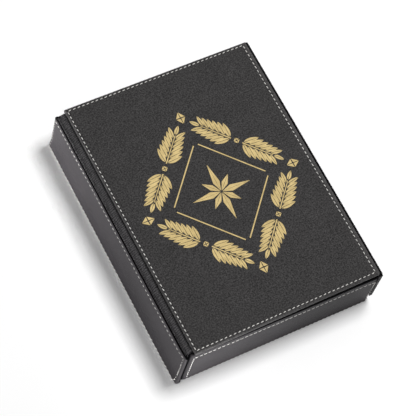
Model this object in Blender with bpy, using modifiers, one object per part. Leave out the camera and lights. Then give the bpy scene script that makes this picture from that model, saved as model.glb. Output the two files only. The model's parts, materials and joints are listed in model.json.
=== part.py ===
"""Book-shaped dice storage chest with a hinged lid and a closing flap.

Metres, +Z up. The spine is on -X, the closing flap on +X, and the front wall on -Y.
The origin is at the middle of the bounding box's underside.
Run with: blender --background --python part.py
"""

import bmesh
import bpy
from mathutils import Vector

MM = 0.001

# Overall sizes
CHEST_WIDTH = 179.0 * MM
CHEST_HEIGHT = 53.0 * MM
SPINE_LENGTH = 231.2 * MM

# How far the spine's ends stand past the lid, the wall facings and the flap
SPINE_PAST_LID = 0.4 * MM
SPINE_PAST_FACING = 0.8 * MM
SPINE_PAST_FLAP = 1.0 * MM

# Sheet and board thicknesses
LEATHERETTE = 0.6 * MM
BASE_BOARD = 2.4 * MM
WALL_BOARD = 2.5 * MM
SPINE_BOARD = 1.2 * MM
LID_BOARD = 1.2 * MM
LID_PAD = 0.5 * MM
FLAP_BOARD = 1.2 * MM
FACING_CARD = 0.8 * MM
LINING_CARD = 0.6 * MM
DIVIDER = 2.0 * MM

# Leatherette turned in behind a panel's board
TURN_IN = 8.0 * MM
BASE_COVER_INSET = 2.0 * MM

# Clearance between neighbouring pieces, and the overrun of a cutter
GAP = 0.3 * MM
CUT_OVERRUN = 1.0 * MM

# Heights
FOOT_CLEARANCE = 0.3 * MM
SPINE_BELOW_RIM = 2.1 * MM
FACING_BELOW_RIM = 2.0 * MM
FLAP_FOOT = 9.2 * MM
DIVIDER_HEADROOM = 1.0 * MM

# Hinge gutter between spine and lid
GUTTER_PLAY = 1.3 * MM
HINGE_NIP = 0.4 * MM
STRIP_GLUE_WIDTH = 12.0 * MM
STRIP_FRONT_SHORT = 1.7 * MM
STRIP_REAR_PAST = 1.6 * MM

# Crease between lid and flap
CREASE_NIP = 0.1 * MM

# Roundings
LID_EDGE_RADIUS = 1.5 * MM
PANEL_EDGE_RADIUS = 1.0 * MM
BOARD_RADIUS = 0.7 * MM
EDGE_SEGMENTS = 3

# Compartments
COLUMNS = 3
ROWS = 4

# Closing magnets in the flap and the steel discs they hold on to
MAGNET_COUNT = 3
MAGNET_RADIUS = 5.0 * MM
MAGNET_FROM_END = 42.0 * MM
MAGNET_BELOW_AXIS = 23.0 * MM
DISC_RADIUS = 5.0 * MM
DISC_THICKNESS = 1.0 * MM
ROUND_SEGMENTS = 24

# Colours, linear, with roughness and metallic value
FINISHES = {
    "lid_leatherette": ((0.051, 0.051, 0.054), 0.55, 0.0),
    "wall_leatherette": ((0.085, 0.082, 0.086), 0.55, 0.0),
    "gutter_leatherette": ((0.045, 0.044, 0.046), 0.65, 0.0),
    "greyboard": ((0.27, 0.25, 0.22), 0.9, 0.0),
    "foam": ((0.60, 0.60, 0.58), 0.95, 0.0),
    "lining": ((0.030, 0.030, 0.033), 0.95, 0.0),
    "magnet": ((0.62, 0.62, 0.64), 0.3, 1.0),
    "steel": ((0.45, 0.45, 0.46), 0.4, 1.0),
}

# Places along Y, as distances from the middle
SPINE_END = SPINE_LENGTH / 2
LID_END = SPINE_END - SPINE_PAST_LID
FLAP_END = SPINE_END - SPINE_PAST_FLAP
FACING_FACE = SPINE_END - SPINE_PAST_FACING
FACING_CARD_FACE = FACING_FACE - LEATHERETTE - GAP
FACING_CARD_BACK = FACING_CARD_FACE - FACING_CARD
FACING_BACK = FACING_CARD_BACK - GAP - LEATHERETTE
WRAP_END = FACING_BACK - GAP
WALL_END = WRAP_END - LEATHERETTE - GAP
WALL_INNER_END = WALL_END - WALL_BOARD
LINING_END = WALL_INNER_END - GAP
ROOM_END = LINING_END - LINING_CARD
STRIP_ENDS = (STRIP_FRONT_SHORT - WRAP_END, WRAP_END + STRIP_REAR_PAST)

# Places along X, from the spine's face inwards
SPINE_FACE = -CHEST_WIDTH / 2
SPINE_BOARD_FACE = SPINE_FACE + LEATHERETTE + GAP
SPINE_BOARD_BACK = SPINE_BOARD_FACE + SPINE_BOARD
SPINE_BACK = SPINE_BOARD_BACK + GAP + LEATHERETTE
STRIP_FACE = SPINE_BACK + GAP
STRIP_BACK = STRIP_FACE + LEATHERETTE
WRAP_LEFT = STRIP_BACK + GAP
WALL_LEFT = WRAP_LEFT + LEATHERETTE + GAP
WALL_LEFT_INNER = WALL_LEFT + WALL_BOARD
LINING_LEFT = WALL_LEFT_INNER + GAP
ROOM_LEFT = LINING_LEFT + LINING_CARD

# Places along X, from the flap's face inwards
FLAP_FACE = CHEST_WIDTH / 2
FLAP_BOARD_FACE = FLAP_FACE - LEATHERETTE - GAP
FLAP_BOARD_BACK = FLAP_BOARD_FACE - FLAP_BOARD
FLAP_LINING_FACE = FLAP_BOARD_BACK - GAP
FLAP_BACK = FLAP_LINING_FACE - max(LEATHERETTE, LINING_CARD)
WRAP_RIGHT = FLAP_BACK - GAP
WALL_RIGHT = WRAP_RIGHT - LEATHERETTE - GAP
WALL_RIGHT_INNER = WALL_RIGHT - WALL_BOARD
LINING_RIGHT = WALL_RIGHT_INNER - GAP
ROOM_RIGHT = LINING_RIGHT - LINING_CARD

# The gutter is wide enough for the lid to fold right over the spine
GUTTER = SPINE_BACK - SPINE_FACE + GUTTER_PLAY
LID_LEFT = SPINE_BACK + GUTTER
LID_RIGHT = WRAP_RIGHT

# Places along Z, from the table up
WRAP_FOOT = LEATHERETTE + GAP
BASE_BOARD_FOOT = WRAP_FOOT + LEATHERETTE + GAP
BASE_BOARD_TOP = BASE_BOARD_FOOT + BASE_BOARD
WALL_FOOT = BASE_BOARD_TOP + GAP
FLOOR = WALL_FOOT + LINING_CARD

# Places along Z, from the lid's face down
LID_PAD_TOP = CHEST_HEIGHT - LEATHERETTE - GAP
LID_PAD_FOOT = LID_PAD_TOP - LID_PAD
LID_BOARD_TOP = LID_PAD_FOOT - GAP
LID_BOARD_FOOT = LID_BOARD_TOP - LID_BOARD
LID_UNDERSIDE = LID_BOARD_FOOT - GAP - LEATHERETTE
LID_LINING_TOP = LID_UNDERSIDE - GAP
LID_LINING_FOOT = LID_LINING_TOP - LINING_CARD
STRIP_LEG_FOOT = LID_LINING_TOP - LEATHERETTE
RIM = min(LID_LINING_FOOT, STRIP_LEG_FOOT) - GAP
WALL_TOP = RIM - LEATHERETTE - GAP
SPINE_TOP = RIM - SPINE_BELOW_RIM
FACING_TOP = RIM - FACING_BELOW_RIM
DIVIDER_TOP = LID_LINING_FOOT - DIVIDER_HEADROOM

# Joint axes, both along Y
LID_AXIS = Vector((SPINE_BACK, 0, LID_LINING_TOP - LEATHERETTE / 2))
FLAP_AXIS_X = LID_RIGHT + GAP + LEATHERETTE / 2
FLAP_REACH = FLAP_FACE - FLAP_AXIS_X
FLAP_AXIS = Vector((FLAP_AXIS_X, 0, CHEST_HEIGHT - FLAP_REACH))
FLAP_TOP = FLAP_AXIS.z - FLAP_REACH
MAGNET_HEIGHT = FLAP_AXIS.z - MAGNET_BELOW_AXIS

# Boards inside a cover stay clear of its rounded edges
LID_INSET = LID_EDGE_RADIUS + GAP
PANEL_INSET = PANEL_EDGE_RADIUS + GAP

# The wrap is turned over the rim as far as the walls' inner faces
RIM_TURN = LEATHERETTE + GAP + WALL_BOARD

SIDES = {
    "-X": Vector((-1, 0, 0)),
    "+X": Vector((1, 0, 0)),
    "-Y": Vector((0, -1, 0)),
    "+Y": Vector((0, 1, 0)),
    "-Z": Vector((0, 0, -1)),
    "+Z": Vector((0, 0, 1)),
}


def clear_scene():
    """Removes every object that the file starts with."""
    for old in list(bpy.data.objects):
        bpy.data.objects.remove(old, do_unlink=True)


def new_collection(name):
    """Makes a collection in the scene."""
    collection = bpy.data.collections.new(name)
    bpy.context.scene.collection.children.link(collection)
    return collection


def make_material(name):
    """Makes one finish of the table above."""
    colour, roughness, metallic = FINISHES[name]
    material = bpy.data.materials.new(name)
    material.use_nodes = True
    surface = material.node_tree.nodes["Principled BSDF"]
    surface.inputs["Base Color"].default_value = (*colour, 1)
    surface.inputs["Roughness"].default_value = roughness
    surface.inputs["Metallic"].default_value = metallic
    material.diffuse_color = (*colour, 1)
    return material


def make_joint(name, axis, parent=None):
    """Makes an empty on a joint's axis, which the moving pieces hang from."""
    empty = bpy.data.objects.new(name, None)
    empty.parent = parent
    empty.location = axis - (parent.matrix_world.translation if parent else Vector())
    bpy.context.scene.collection.objects.link(empty)
    bpy.context.view_layer.update()
    return empty


def place(name, bm, centre, material, collection, joint=None):
    """Turns a bmesh round its own middle into an object at its place."""
    mesh = bpy.data.meshes.new(name)
    bm.to_mesh(mesh)
    bm.free()
    mesh.materials.append(material)
    piece = bpy.data.objects.new(name, mesh)
    piece.parent = joint
    piece.location = centre - (joint.matrix_world.translation if joint else Vector())
    collection.objects.link(piece)
    return piece


def cuboid(x, y, z):
    """Gives a box between two places on each axis, as a bmesh round its middle."""
    size = Vector((x[1] - x[0], y[1] - y[0], z[1] - z[0]))
    centre = Vector((x[0] + x[1], y[0] + y[1], z[0] + z[1])) / 2
    bm = bmesh.new()
    bmesh.ops.create_cube(bm, size=1)
    bmesh.ops.scale(bm, vec=size, verts=bm.verts)
    return bm, centre


def block(name, x, y, z, material, collection, joint=None, radius=0):
    """Makes a board or card, with its upright edges rounded where a radius is given."""
    bm, centre = cuboid(x, y, z)
    if radius:
        upright = [e for e in bm.edges if e.verts[0].co.xy == e.verts[1].co.xy]
        bmesh.ops.bevel(
            bm, geom=upright, offset=radius, segments=EDGE_SEGMENTS, profile=0.5, affect="EDGES"
        )
    return place(name, bm, centre, material, collection, joint)


def cover(name, x, y, z, turned, radius, material, collection, joint=None):
    """Makes a leatherette cover round a board: a rounded box whose sheet is turned in on some sides.

    turned gives those sides with the width of the turned edge; inside it the side is open.
    """
    bm, centre = cuboid(x, y, z)
    bm.normal_update()
    for side, width in turned.items():
        bm.faces.ensure_lookup_table()
        face = max(bm.faces, key=lambda f: f.normal.dot(SIDES[side]) * f.calc_area())
        bmesh.ops.inset_individual(bm, faces=[face], thickness=width, use_even_offset=True)
        bmesh.ops.delete(bm, geom=[face], context="FACES")
    piece = place(name, bm, centre, material, collection, joint)
    rounding = piece.modifiers.new("Rounded edges", "BEVEL")
    rounding.width = radius
    rounding.segments = EDGE_SEGMENTS
    rounding.limit_method = "ANGLE"
    wall = piece.modifiers.new("Sheet", "SOLIDIFY")
    wall.thickness = LEATHERETTE
    wall.offset = -1
    wall.use_even_offset = True
    return piece


def disc(name, radius, x, y, z, material, collection, joint=None):
    """Makes a round disc lying across X, between two places on it."""
    bm = bmesh.new()
    bmesh.ops.create_cone(
        bm,
        cap_ends=True,
        segments=ROUND_SEGMENTS,
        radius1=radius,
        radius2=radius,
        depth=x[1] - x[0],
    )
    for vertex in bm.verts:
        vertex.co = Vector((vertex.co.z, vertex.co.y, -vertex.co.x))
    piece = place(name, bm, Vector(((x[0] + x[1]) / 2, y, z)), material, collection, joint)
    piece.data.shade_smooth()
    piece.data.set_sharp_from_angle(angle=0.5)
    return piece


def cut(piece, cutter):
    """Cuts one piece by a cutter, which stays in the file as a wire guide."""
    cutter.hide_render = True
    cutter.display_type = "WIRE"
    boolean = piece.modifiers.new("Cut " + cutter.name, "BOOLEAN")
    boolean.operation = "DIFFERENCE"
    boolean.solver = "EXACT"
    boolean.object = cutter


def build_floor(parts, finish):
    """The base sheet, the base board and the floor's lining."""
    block(
        "base_cover",
        (WRAP_LEFT + BASE_COVER_INSET, WRAP_RIGHT - BASE_COVER_INSET),
        (BASE_COVER_INSET - WRAP_END, WRAP_END - BASE_COVER_INSET),
        (0, LEATHERETTE),
        finish["wall_leatherette"],
        parts,
        radius=PANEL_EDGE_RADIUS,
    )
    block(
        "base_board",
        (WALL_LEFT, WALL_RIGHT),
        (-WALL_END, WALL_END),
        (BASE_BOARD_FOOT, BASE_BOARD_TOP),
        finish["greyboard"],
        parts,
        radius=BOARD_RADIUS,
    )
    block(
        "floor_lining",
        (LINING_LEFT, LINING_RIGHT),
        (-LINING_END, LINING_END),
        (WALL_FOOT, FLOOR),
        finish["lining"],
        parts,
    )


def build_walls(parts, cutters, finish):
    """Four greyboard walls, their linings, the wrap round them and the steel discs."""
    height = (WALL_FOOT, WALL_TOP)
    lining_height = (FLOOR + GAP, RIM)
    for side, sign in (("front", -1), ("rear", 1)):
        block(
            side + "_wall",
            (WALL_LEFT, WALL_RIGHT),
            sorted((sign * WALL_INNER_END, sign * WALL_END)),
            height,
            finish["greyboard"],
            parts,
            radius=BOARD_RADIUS,
        )
        block(
            side + "_lining",
            (LINING_LEFT, LINING_RIGHT),
            sorted((sign * ROOM_END, sign * LINING_END)),
            lining_height,
            finish["lining"],
            parts,
        )
    between_walls = (GAP - WALL_INNER_END, WALL_INNER_END - GAP)
    between_linings = (GAP - ROOM_END, ROOM_END - GAP)
    block("left_wall", (WALL_LEFT, WALL_LEFT_INNER), between_walls, height, finish["greyboard"], parts)
    right_wall = block(
        "right_wall", (WALL_RIGHT_INNER, WALL_RIGHT), between_walls, height, finish["greyboard"], parts
    )
    block("left_lining", (LINING_LEFT, ROOM_LEFT), between_linings, lining_height, finish["lining"], parts)
    block(
        "right_lining", (ROOM_RIGHT, LINING_RIGHT), between_linings, lining_height, finish["lining"], parts
    )
    cover(
        "tray_wrap",
        (WRAP_LEFT, WRAP_RIGHT),
        (-WRAP_END, WRAP_END),
        (WRAP_FOOT, RIM),
        {"-Z": TURN_IN, "+Z": RIM_TURN},
        PANEL_EDGE_RADIUS,
        finish["wall_leatherette"],
        parts,
    )
    pocket_floor = WALL_RIGHT - DISC_THICKNESS - GAP
    for number, y in enumerate(magnet_places(), start=1):
        name = f"steel_disc_{number}"
        pocket = disc(
            name + "_pocket",
            DISC_RADIUS + GAP,
            (pocket_floor, WALL_RIGHT + CUT_OVERRUN),
            y,
            MAGNET_HEIGHT,
            finish["steel"],
            cutters,
        )
        cut(right_wall, pocket)
        disc(
            name,
            DISC_RADIUS,
            (WALL_RIGHT - DISC_THICKNESS, WALL_RIGHT),
            y,
            MAGNET_HEIGHT,
            finish["steel"],
            parts,
        )


def build_facings(parts, finish):
    """The stitched facings of the two short walls, each a cover over a card."""
    for side, sign in (("front", -1), ("rear", 1)):
        cover(
            side + "_panel_cover",
            (WRAP_LEFT, LID_RIGHT),
            sorted((sign * FACING_BACK, sign * FACING_FACE)),
            (FOOT_CLEARANCE, FACING_TOP),
            {"-Y" if sign > 0 else "+Y": TURN_IN},
            PANEL_EDGE_RADIUS,
            finish["wall_leatherette"],
            parts,
        )
        block(
            side + "_panel_card",
            (WRAP_LEFT + PANEL_INSET, LID_RIGHT - PANEL_INSET),
            sorted((sign * FACING_CARD_BACK, sign * FACING_CARD_FACE)),
            (FOOT_CLEARANCE + PANEL_INSET, FACING_TOP - PANEL_INSET),
            finish["greyboard"],
            parts,
        )


def build_spine(parts, finish):
    """The spine's cover and board, and the leg of the gutter strip behind them."""
    cover(
        "spine_cover",
        (SPINE_FACE, SPINE_BACK),
        (-SPINE_END, SPINE_END),
        (FOOT_CLEARANCE, SPINE_TOP),
        {"+X": TURN_IN},
        PANEL_EDGE_RADIUS,
        finish["wall_leatherette"],
        parts,
    )
    block(
        "spine_board",
        (SPINE_BOARD_FACE, SPINE_BOARD_BACK),
        (PANEL_INSET - SPINE_END, SPINE_END - PANEL_INSET),
        (FOOT_CLEARANCE + PANEL_INSET, SPINE_TOP - PANEL_INSET),
        finish["greyboard"],
        parts,
    )
    block(
        "hinge_strip_spine_leg",
        (STRIP_FACE, STRIP_BACK),
        STRIP_ENDS,
        (BASE_BOARD_FOOT, RIM),
        finish["gutter_leatherette"],
        parts,
    )


def build_lid(parts, finish, joint):
    """The lid's cover, pad, board and lining, and the leg of the gutter strip in it."""
    inside_x = (LID_LEFT + LID_INSET, LID_RIGHT - LID_INSET)
    inside_y = (LID_INSET - LID_END, LID_END - LID_INSET)
    strip_end = LID_LEFT + STRIP_GLUE_WIDTH
    cover(
        "lid_cover",
        (LID_LEFT, LID_RIGHT),
        (-LID_END, LID_END),
        (LID_UNDERSIDE, CHEST_HEIGHT),
        {"-Z": TURN_IN},
        LID_EDGE_RADIUS,
        finish["lid_leatherette"],
        parts,
        joint,
    )
    block(
        "lid_pad", inside_x, inside_y, (LID_PAD_FOOT, LID_PAD_TOP), finish["foam"], parts, joint, BOARD_RADIUS
    )
    block(
        "lid_board",
        inside_x,
        inside_y,
        (LID_BOARD_FOOT, LID_BOARD_TOP),
        finish["greyboard"],
        parts,
        joint,
        BOARD_RADIUS,
    )
    block(
        "lid_lining",
        (strip_end + GAP, inside_x[1]),
        inside_y,
        (LID_LINING_FOOT, LID_LINING_TOP),
        finish["lining"],
        parts,
        joint,
    )
    block(
        "hinge_strip_lid_leg",
        (LID_AXIS.x + HINGE_NIP, strip_end),
        STRIP_ENDS,
        (STRIP_LEG_FOOT, LID_LINING_TOP),
        finish["gutter_leatherette"],
        parts,
        joint,
    )


def build_flap(parts, cutters, finish, joint):
    """The flap's cover, board, lining, magnets and the crease that it hangs from."""
    lining_inset = TURN_IN + GAP
    cover(
        "flap_cover",
        (FLAP_BACK, FLAP_FACE),
        (-FLAP_END, FLAP_END),
        (FLAP_FOOT, FLAP_TOP),
        {"-X": TURN_IN},
        PANEL_EDGE_RADIUS,
        finish["wall_leatherette"],
        parts,
        joint,
    )
    board = block(
        "flap_board",
        (FLAP_BOARD_BACK, FLAP_BOARD_FACE),
        (PANEL_INSET - FLAP_END, FLAP_END - PANEL_INSET),
        (FLAP_FOOT + PANEL_INSET, FLAP_TOP - PANEL_INSET),
        finish["greyboard"],
        parts,
        joint,
    )
    block(
        "flap_lining",
        (FLAP_LINING_FACE - LINING_CARD, FLAP_LINING_FACE),
        (lining_inset - FLAP_END, FLAP_END - lining_inset),
        (FLAP_FOOT + lining_inset, FLAP_TOP - lining_inset),
        finish["lining"],
        parts,
        joint,
    )
    block(
        "flap_crease",
        (FLAP_AXIS.x - LEATHERETTE / 2, FLAP_AXIS.x + LEATHERETTE / 2),
        (-FLAP_END, FLAP_END),
        (FLAP_TOP + GAP, FLAP_AXIS.z - CREASE_NIP),
        finish["gutter_leatherette"],
        parts,
        joint,
    )
    for number, y in enumerate(magnet_places(), start=1):
        name = f"flap_magnet_{number}"
        hole = disc(
            name + "_hole",
            MAGNET_RADIUS + GAP,
            (FLAP_BOARD_BACK - CUT_OVERRUN, FLAP_BOARD_FACE + CUT_OVERRUN),
            y,
            MAGNET_HEIGHT,
            finish["magnet"],
            cutters,
            joint,
        )
        cut(board, hole)
        disc(
            name,
            MAGNET_RADIUS,
            (FLAP_BOARD_BACK, FLAP_BOARD_FACE),
            y,
            MAGNET_HEIGHT,
            finish["magnet"],
            parts,
            joint,
        )


def magnet_places():
    """Gives the magnets' places along Y, evenly spread between the two outer ones."""
    outer = FLAP_END - MAGNET_FROM_END
    return [outer * (2 * number / (MAGNET_COUNT - 1) - 1) for number in range(MAGNET_COUNT)]


def shares_between(low, high, count):
    """Gives the places that part a length into equal shares."""
    return [low + (high - low) * number / count for number in range(1, count)]


def build_dividers(parts, cutters, finish):
    """Interlocking dividers, halved into each other at every crossing."""
    foot = FLOOR + GAP
    crossing = (foot + DIVIDER_TOP) / 2
    half = DIVIDER / 2
    slot = half + GAP
    columns = shares_between(ROOM_LEFT, ROOM_RIGHT, COLUMNS)
    rows = shares_between(-ROOM_END, ROOM_END, ROWS)
    for number, x in enumerate(columns, start=1):
        divider = block(
            f"long_divider_{number}",
            (x - half, x + half),
            (GAP - ROOM_END, ROOM_END - GAP),
            (foot, DIVIDER_TOP),
            finish["lining"],
            parts,
        )
        for row, y in enumerate(rows, start=1):
            notch = block(
                f"long_divider_{number}_notch_{row}",
                (x - half - CUT_OVERRUN, x + half + CUT_OVERRUN),
                (y - slot, y + slot),
                (crossing - GAP / 2, DIVIDER_TOP + CUT_OVERRUN),
                finish["lining"],
                cutters,
            )
            cut(divider, notch)
    for number, y in enumerate(rows, start=1):
        divider = block(
            f"cross_divider_{number}",
            (ROOM_LEFT + GAP, ROOM_RIGHT - GAP),
            (y - half, y + half),
            (foot, DIVIDER_TOP),
            finish["lining"],
            parts,
        )
        for column, x in enumerate(columns, start=1):
            notch = block(
                f"cross_divider_{number}_notch_{column}",
                (x - slot, x + slot),
                (y - half - CUT_OVERRUN, y + half + CUT_OVERRUN),
                (foot - CUT_OVERRUN, crossing + GAP / 2),
                finish["lining"],
                cutters,
            )
            cut(divider, notch)


def main():
    """Builds the whole chest, closed."""
    clear_scene()
    parts = new_collection("Dice storage chest")
    cutters = new_collection("Cutters")
    finish = {name: make_material(name) for name in FINISHES}
    lid_joint = make_joint("lid_joint", LID_AXIS)
    flap_joint = make_joint("flap_joint", FLAP_AXIS, lid_joint)
    build_floor(parts, finish)
    build_walls(parts, cutters, finish)
    build_facings(parts, finish)
    build_spine(parts, finish)
    build_dividers(parts, cutters, finish)
    build_lid(parts, finish, lid_joint)
    build_flap(parts, cutters, finish, flap_joint)


main()
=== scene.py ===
"""Looks of a book-shaped storage chest: stitched leatherette covers, gutter strip, lining and gold foil."""

import json
import math

import bmesh
import bpy
from bpy.props import FloatProperty, FloatVectorProperty, IntProperty, PointerProperty
from mathutils import Euler, Matrix, Vector, noise

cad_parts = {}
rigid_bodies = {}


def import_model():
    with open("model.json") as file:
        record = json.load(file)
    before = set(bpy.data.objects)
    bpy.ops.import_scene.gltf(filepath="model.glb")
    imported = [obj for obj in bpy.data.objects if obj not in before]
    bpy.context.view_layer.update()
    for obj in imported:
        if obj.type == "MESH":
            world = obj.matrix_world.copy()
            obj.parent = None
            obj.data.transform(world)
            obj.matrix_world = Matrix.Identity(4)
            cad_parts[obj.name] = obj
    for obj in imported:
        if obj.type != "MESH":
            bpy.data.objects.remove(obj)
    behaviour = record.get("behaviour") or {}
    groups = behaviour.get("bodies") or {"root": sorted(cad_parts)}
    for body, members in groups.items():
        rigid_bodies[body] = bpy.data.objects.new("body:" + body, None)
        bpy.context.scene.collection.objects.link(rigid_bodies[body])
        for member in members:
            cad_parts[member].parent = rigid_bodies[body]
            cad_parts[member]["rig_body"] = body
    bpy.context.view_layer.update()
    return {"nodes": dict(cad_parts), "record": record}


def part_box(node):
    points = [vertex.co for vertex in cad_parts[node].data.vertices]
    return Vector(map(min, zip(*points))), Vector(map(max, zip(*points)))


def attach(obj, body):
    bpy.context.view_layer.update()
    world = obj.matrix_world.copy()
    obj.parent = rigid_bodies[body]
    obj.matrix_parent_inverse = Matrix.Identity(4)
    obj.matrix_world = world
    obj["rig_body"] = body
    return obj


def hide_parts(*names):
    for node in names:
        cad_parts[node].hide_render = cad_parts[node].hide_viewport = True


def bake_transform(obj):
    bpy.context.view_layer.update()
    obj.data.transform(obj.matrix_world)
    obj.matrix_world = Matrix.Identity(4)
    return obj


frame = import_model()

bl_info = {
    "name": "Dice storage chest",
    "version": (1, 0, 0),
    "blender": (4, 5, 0),
    "location": "3D View > Sidebar > Chest",
    "description": "Dresses the chest's solids with stitched leatherette, lining, thread and gold foil",
    "category": "Object",
}

MM = 0.001
EDGE_ANGLE = math.radians(35)

# Distance between two ribs of the gathered gutter strip, and their turn out of its width
GATHER = 1.7 * MM
RIB_TURN = math.radians(18)

# Width of the leatherette's flecks
FLECK = 1.2 * MM

# How much paler the leatherette is painted along the lid's edges and the spine's rim: a painted highlight of
# the rounded edges
HIGHLIGHT_GAIN = 0.65

# Leatherette: pores to a grain, the domes' share of its relief and the width of its slow patches
PORES = 2.2
DOMES = 0.65
PATCH = 18 * MM

# How far gloss varies over a piece, to both sides of its roughness
GLOSS_SPREAD = 0.1

# A wave texture turns 20 times for each unit of its scale, counted in radians
WAVE_TURN = math.tau / 20

# The front wall's seam dips this far towards the flap, and its upper edge leaves the lid's underside
SEAM_DIP = 4.4 * MM
EDGE_RISE = 2.3 * MM
EDGE_DIP = 1.3 * MM

# Above this height the cards inside the short walls lie as much lower as the edge dips
CARD_TOP = 30 * MM

# The spine's upper edge rises this far towards the front
SPINE_RISE = 1.0 * MM

# At its front corner the spine's seam and its upper edge rise this far, over this length
SEAM_CORNER = 3.0 * MM
EDGE_CORNER = 1.4 * MM
CORNER_REACH = 9 * MM

# The spine's foot is this much longer at its front end, over this height and length, and its flare less
FOOT_LONGER = 1.1 * MM
FOOT_REACH = 14 * MM
FOOT_END = 3 * MM
FLARE_LOSS = 0.6

# Distance of the spine's painted highlight from its upper edge
RIM_PLACE = 0.8 * MM

# The front wall's seam droops this much more at its corner by the flap, over this length
SEAM_DROOP = 2.2 * MM
DROOP_REACH = 12 * MM

# The flap's front end stands out this far, over this length
FLAP_LONGER = 0.9 * MM
FLAP_REACH = 8 * MM

# Distance from the seam at which the lid's painted edge highlight is full, and its share at the lid's ends
HIGHLIGHT_WIDTH = 1.6 * MM
END_HIGHLIGHT = 0.35

# The lid's right edge drifts this far out at the front and in at the rear
LID_DRIFT = 0.4 * MM

# The lid's front edge drifts this far out at the left and in at the right
FRONT_DRIFT = 0.55 * MM

# The lid's left and front edges lie this far in and its rear edge this far out
LID_LEFT = 0.7 * MM
LID_FRONT = 0.1 * MM
LID_REAR = 0.3 * MM

# Over this length at its rear end the lid's left edge comes out again
LEFT_END = 6 * MM

# Height over which a wall's foot bulges between its stitches
HEM_REACH = 1.6 * MM

# Width of the rim that the stitches draw in
DRAWN_RIM = 2.5 * MM

# Share of the groove's depth between two needle holes, and the share that a hole adds
GROOVE_BETWEEN = 0.65
GROOVE_AT_HOLE = 0.6

# Cuts beside a groove, in widths of the groove, their distance from the rounded edge and from each other
GROOVE_CUTS = (-1.6, -1.0, -0.5, 0.5, 1.0, 1.6)
CUT_CLEARANCE = 0.1 * MM
CUT_APART = 0.12 * MM

# The step behind the spine's upper edge: how near the edge it starts and how far below its rounding
STEP_RIM = 0.3 * MM
STEP_DEPTH = 0.9

# Black paint: how far it reaches in from the edge, and from or to which depth below the face. The flap's is
# its edge paint; the lid's, the spine's and the walls' is painted shade in the gaps and recesses between the
# parts
LID_GAP_SHADE = (0.6 * MM, 3.2 * MM)
FLAP_PAINT = (0.5 * MM, 1.55 * MM)
SPINE_CORNER_SHADE = (1.6 * MM, 2.5 * MM)
SPINE_JOINT_SHADE = (1.1 * MM, 1.55 * MM)
SPINE_TOP_SHADE = (0.7 * MM, 0.9 * MM)
WALL_GAP_SHADE = (0.8 * MM, 0.1 * MM)

# Painted shade in the recess where a short wall meets the spine: its full width, its thinner rim and how thin
# that is
JOINT_SHADE = 0.6 * MM
JOINT_RIM = 1.1 * MM
THIN_SHADE = 0.4

# The painted shade of the gap under the lid starts at this share of the wall's width from the spine, and gets
# full over this share
GAP_SHADE_START = 0.02
GAP_SHADE_FADE = 0.36

# A stitch: sides and rings of its ball, how blunt its ends are and how far they dip, as a share of its height
STITCH_STEPS = 6
STITCH_BLUNTNESS = 0.55
STITCH_DIP = 0.9

# Ribs of a gathered strip wander and swell: speed across its path, ribs to a turn, place in the noise
RIB_WANDER = (0.12, 6, 3.1)
RIB_SWELL = (0.3, 3, 7.7)
RIB_STRAY = 0.8

# Where the gutter strip bulges over the spine's top, in mm across and up from the bend of its two legs
GUTTER_BULGE = (
    (0, -6.0), (0, -4.0), (-0.25, -2.8), (-0.85, -2.1), (-1.5, -1.7), (-2.0, -1.1), (-1.95, -0.5),
    (-1.4, -0.1), (-0.6, 0), (0.4, 0), (1.4, 0),
)

# Height of the gutter strip's glued leg, and where its flat part is cut, in mm from the bend of its legs
LEG_CUT = 22 * MM
FLAT_CUTS = (3, 5, 8)

# The gutter strip: its steps along the chest, the height of its ribs and its thickness
GUTTER_STEPS = 1000
GUTTER_RIB = 0.16 * MM
STRIP_THICKNESS = 0.4 * MM

# The gutter strip's front end comes out this far, from this place over this width, with this power of fall
TONGUE = 1.6 * MM
TONGUE_FROM = 4 * MM
TONGUE_WIDTH = 6 * MM
TONGUE_FALL = 8

# The gutter strip's bulge drifts this far to the left at the rear, over this width
BULGE_DRIFT = 0.4 * MM
BULGE_WIDTH = 2 * MM

# Where the gutter strip is painted dark as shade: below its top, over this height, and near its rear end
DARK_FROM = 0.3 * MM
DARK_OVER = 1.2 * MM
DARK_BELOW = 1.5 * MM
DARK_REAR = 1.4 * MM

# How much darker the bulge's left side is painted, as shade, over this width, and how much more towards the
# front
BULGE_SHADE = 0.38
FRONT_SHADE = 0.26
SHADE_START = 0.6 * MM
SHADE_WIDTH = 2 * MM

# Where the fold rolls from the lid's edge down to the flap, in mm across and up from the crease's top
FOLD_ROLL = (
    (-1.6, 2.1), (-1.0, 2.25), (-0.2, 2.0), (0.55, 1.4), (1.1, 0.7), (1.45, -0.1), (1.6, -0.9), (1.65, -1.8),
    (1.65, -2.4),
)

# The fold: its steps along the chest, the height of its ripples and the distance between them
FOLD_STEPS = 400
FOLD_RIPPLE = 0.05 * MM
FOLD_RIPPLE_LENGTH = 2.6 * MM

# The fold's shift to the right, its turn and its bow along the chest, and what rolling down changes of them
FOLD_SHIFT = 0.4 * MM
FOLD_TURN = 0.3 * MM
FOLD_BOW = 0.2 * MM
ROLL_SHIFT = 0.25 * MM
ROLL_TURN = 0.1 * MM

# The fold starts to roll down this far left of its middle, over this width
ROLL_FROM = 1.5 * MM
ROLL_WIDTH = 2.5 * MM

# Two heights, above the crease's top and above its foot; the fold's operator works out points from them but
# bends nothing by them
FOLD_START = 1.6 * MM
FOLD_END = 0.8 * MM

# The lid's foam pad: cuts of each side, how far its corners draw in, and its share of thickness at the rim
PAD_CUTS = 11
PAD_PULL = 0.006
PAD_RIM = 0.45

# A leaf: steps of its outline, how far forward its widest place lies and how full it is
LEAF_STEPS = 7
LEAF_FORWARD = 0.8
LEAF_FULLNESS = 0.9

# Leaves of a spray: loss of length to its tip, lean from its stem and loss of it, and width by length
LEAF_TAPER = 0.3
LEAF_LEAN = 44
LEAN_LOSS = 8
LEAF_WIDTH = 0.29

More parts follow.
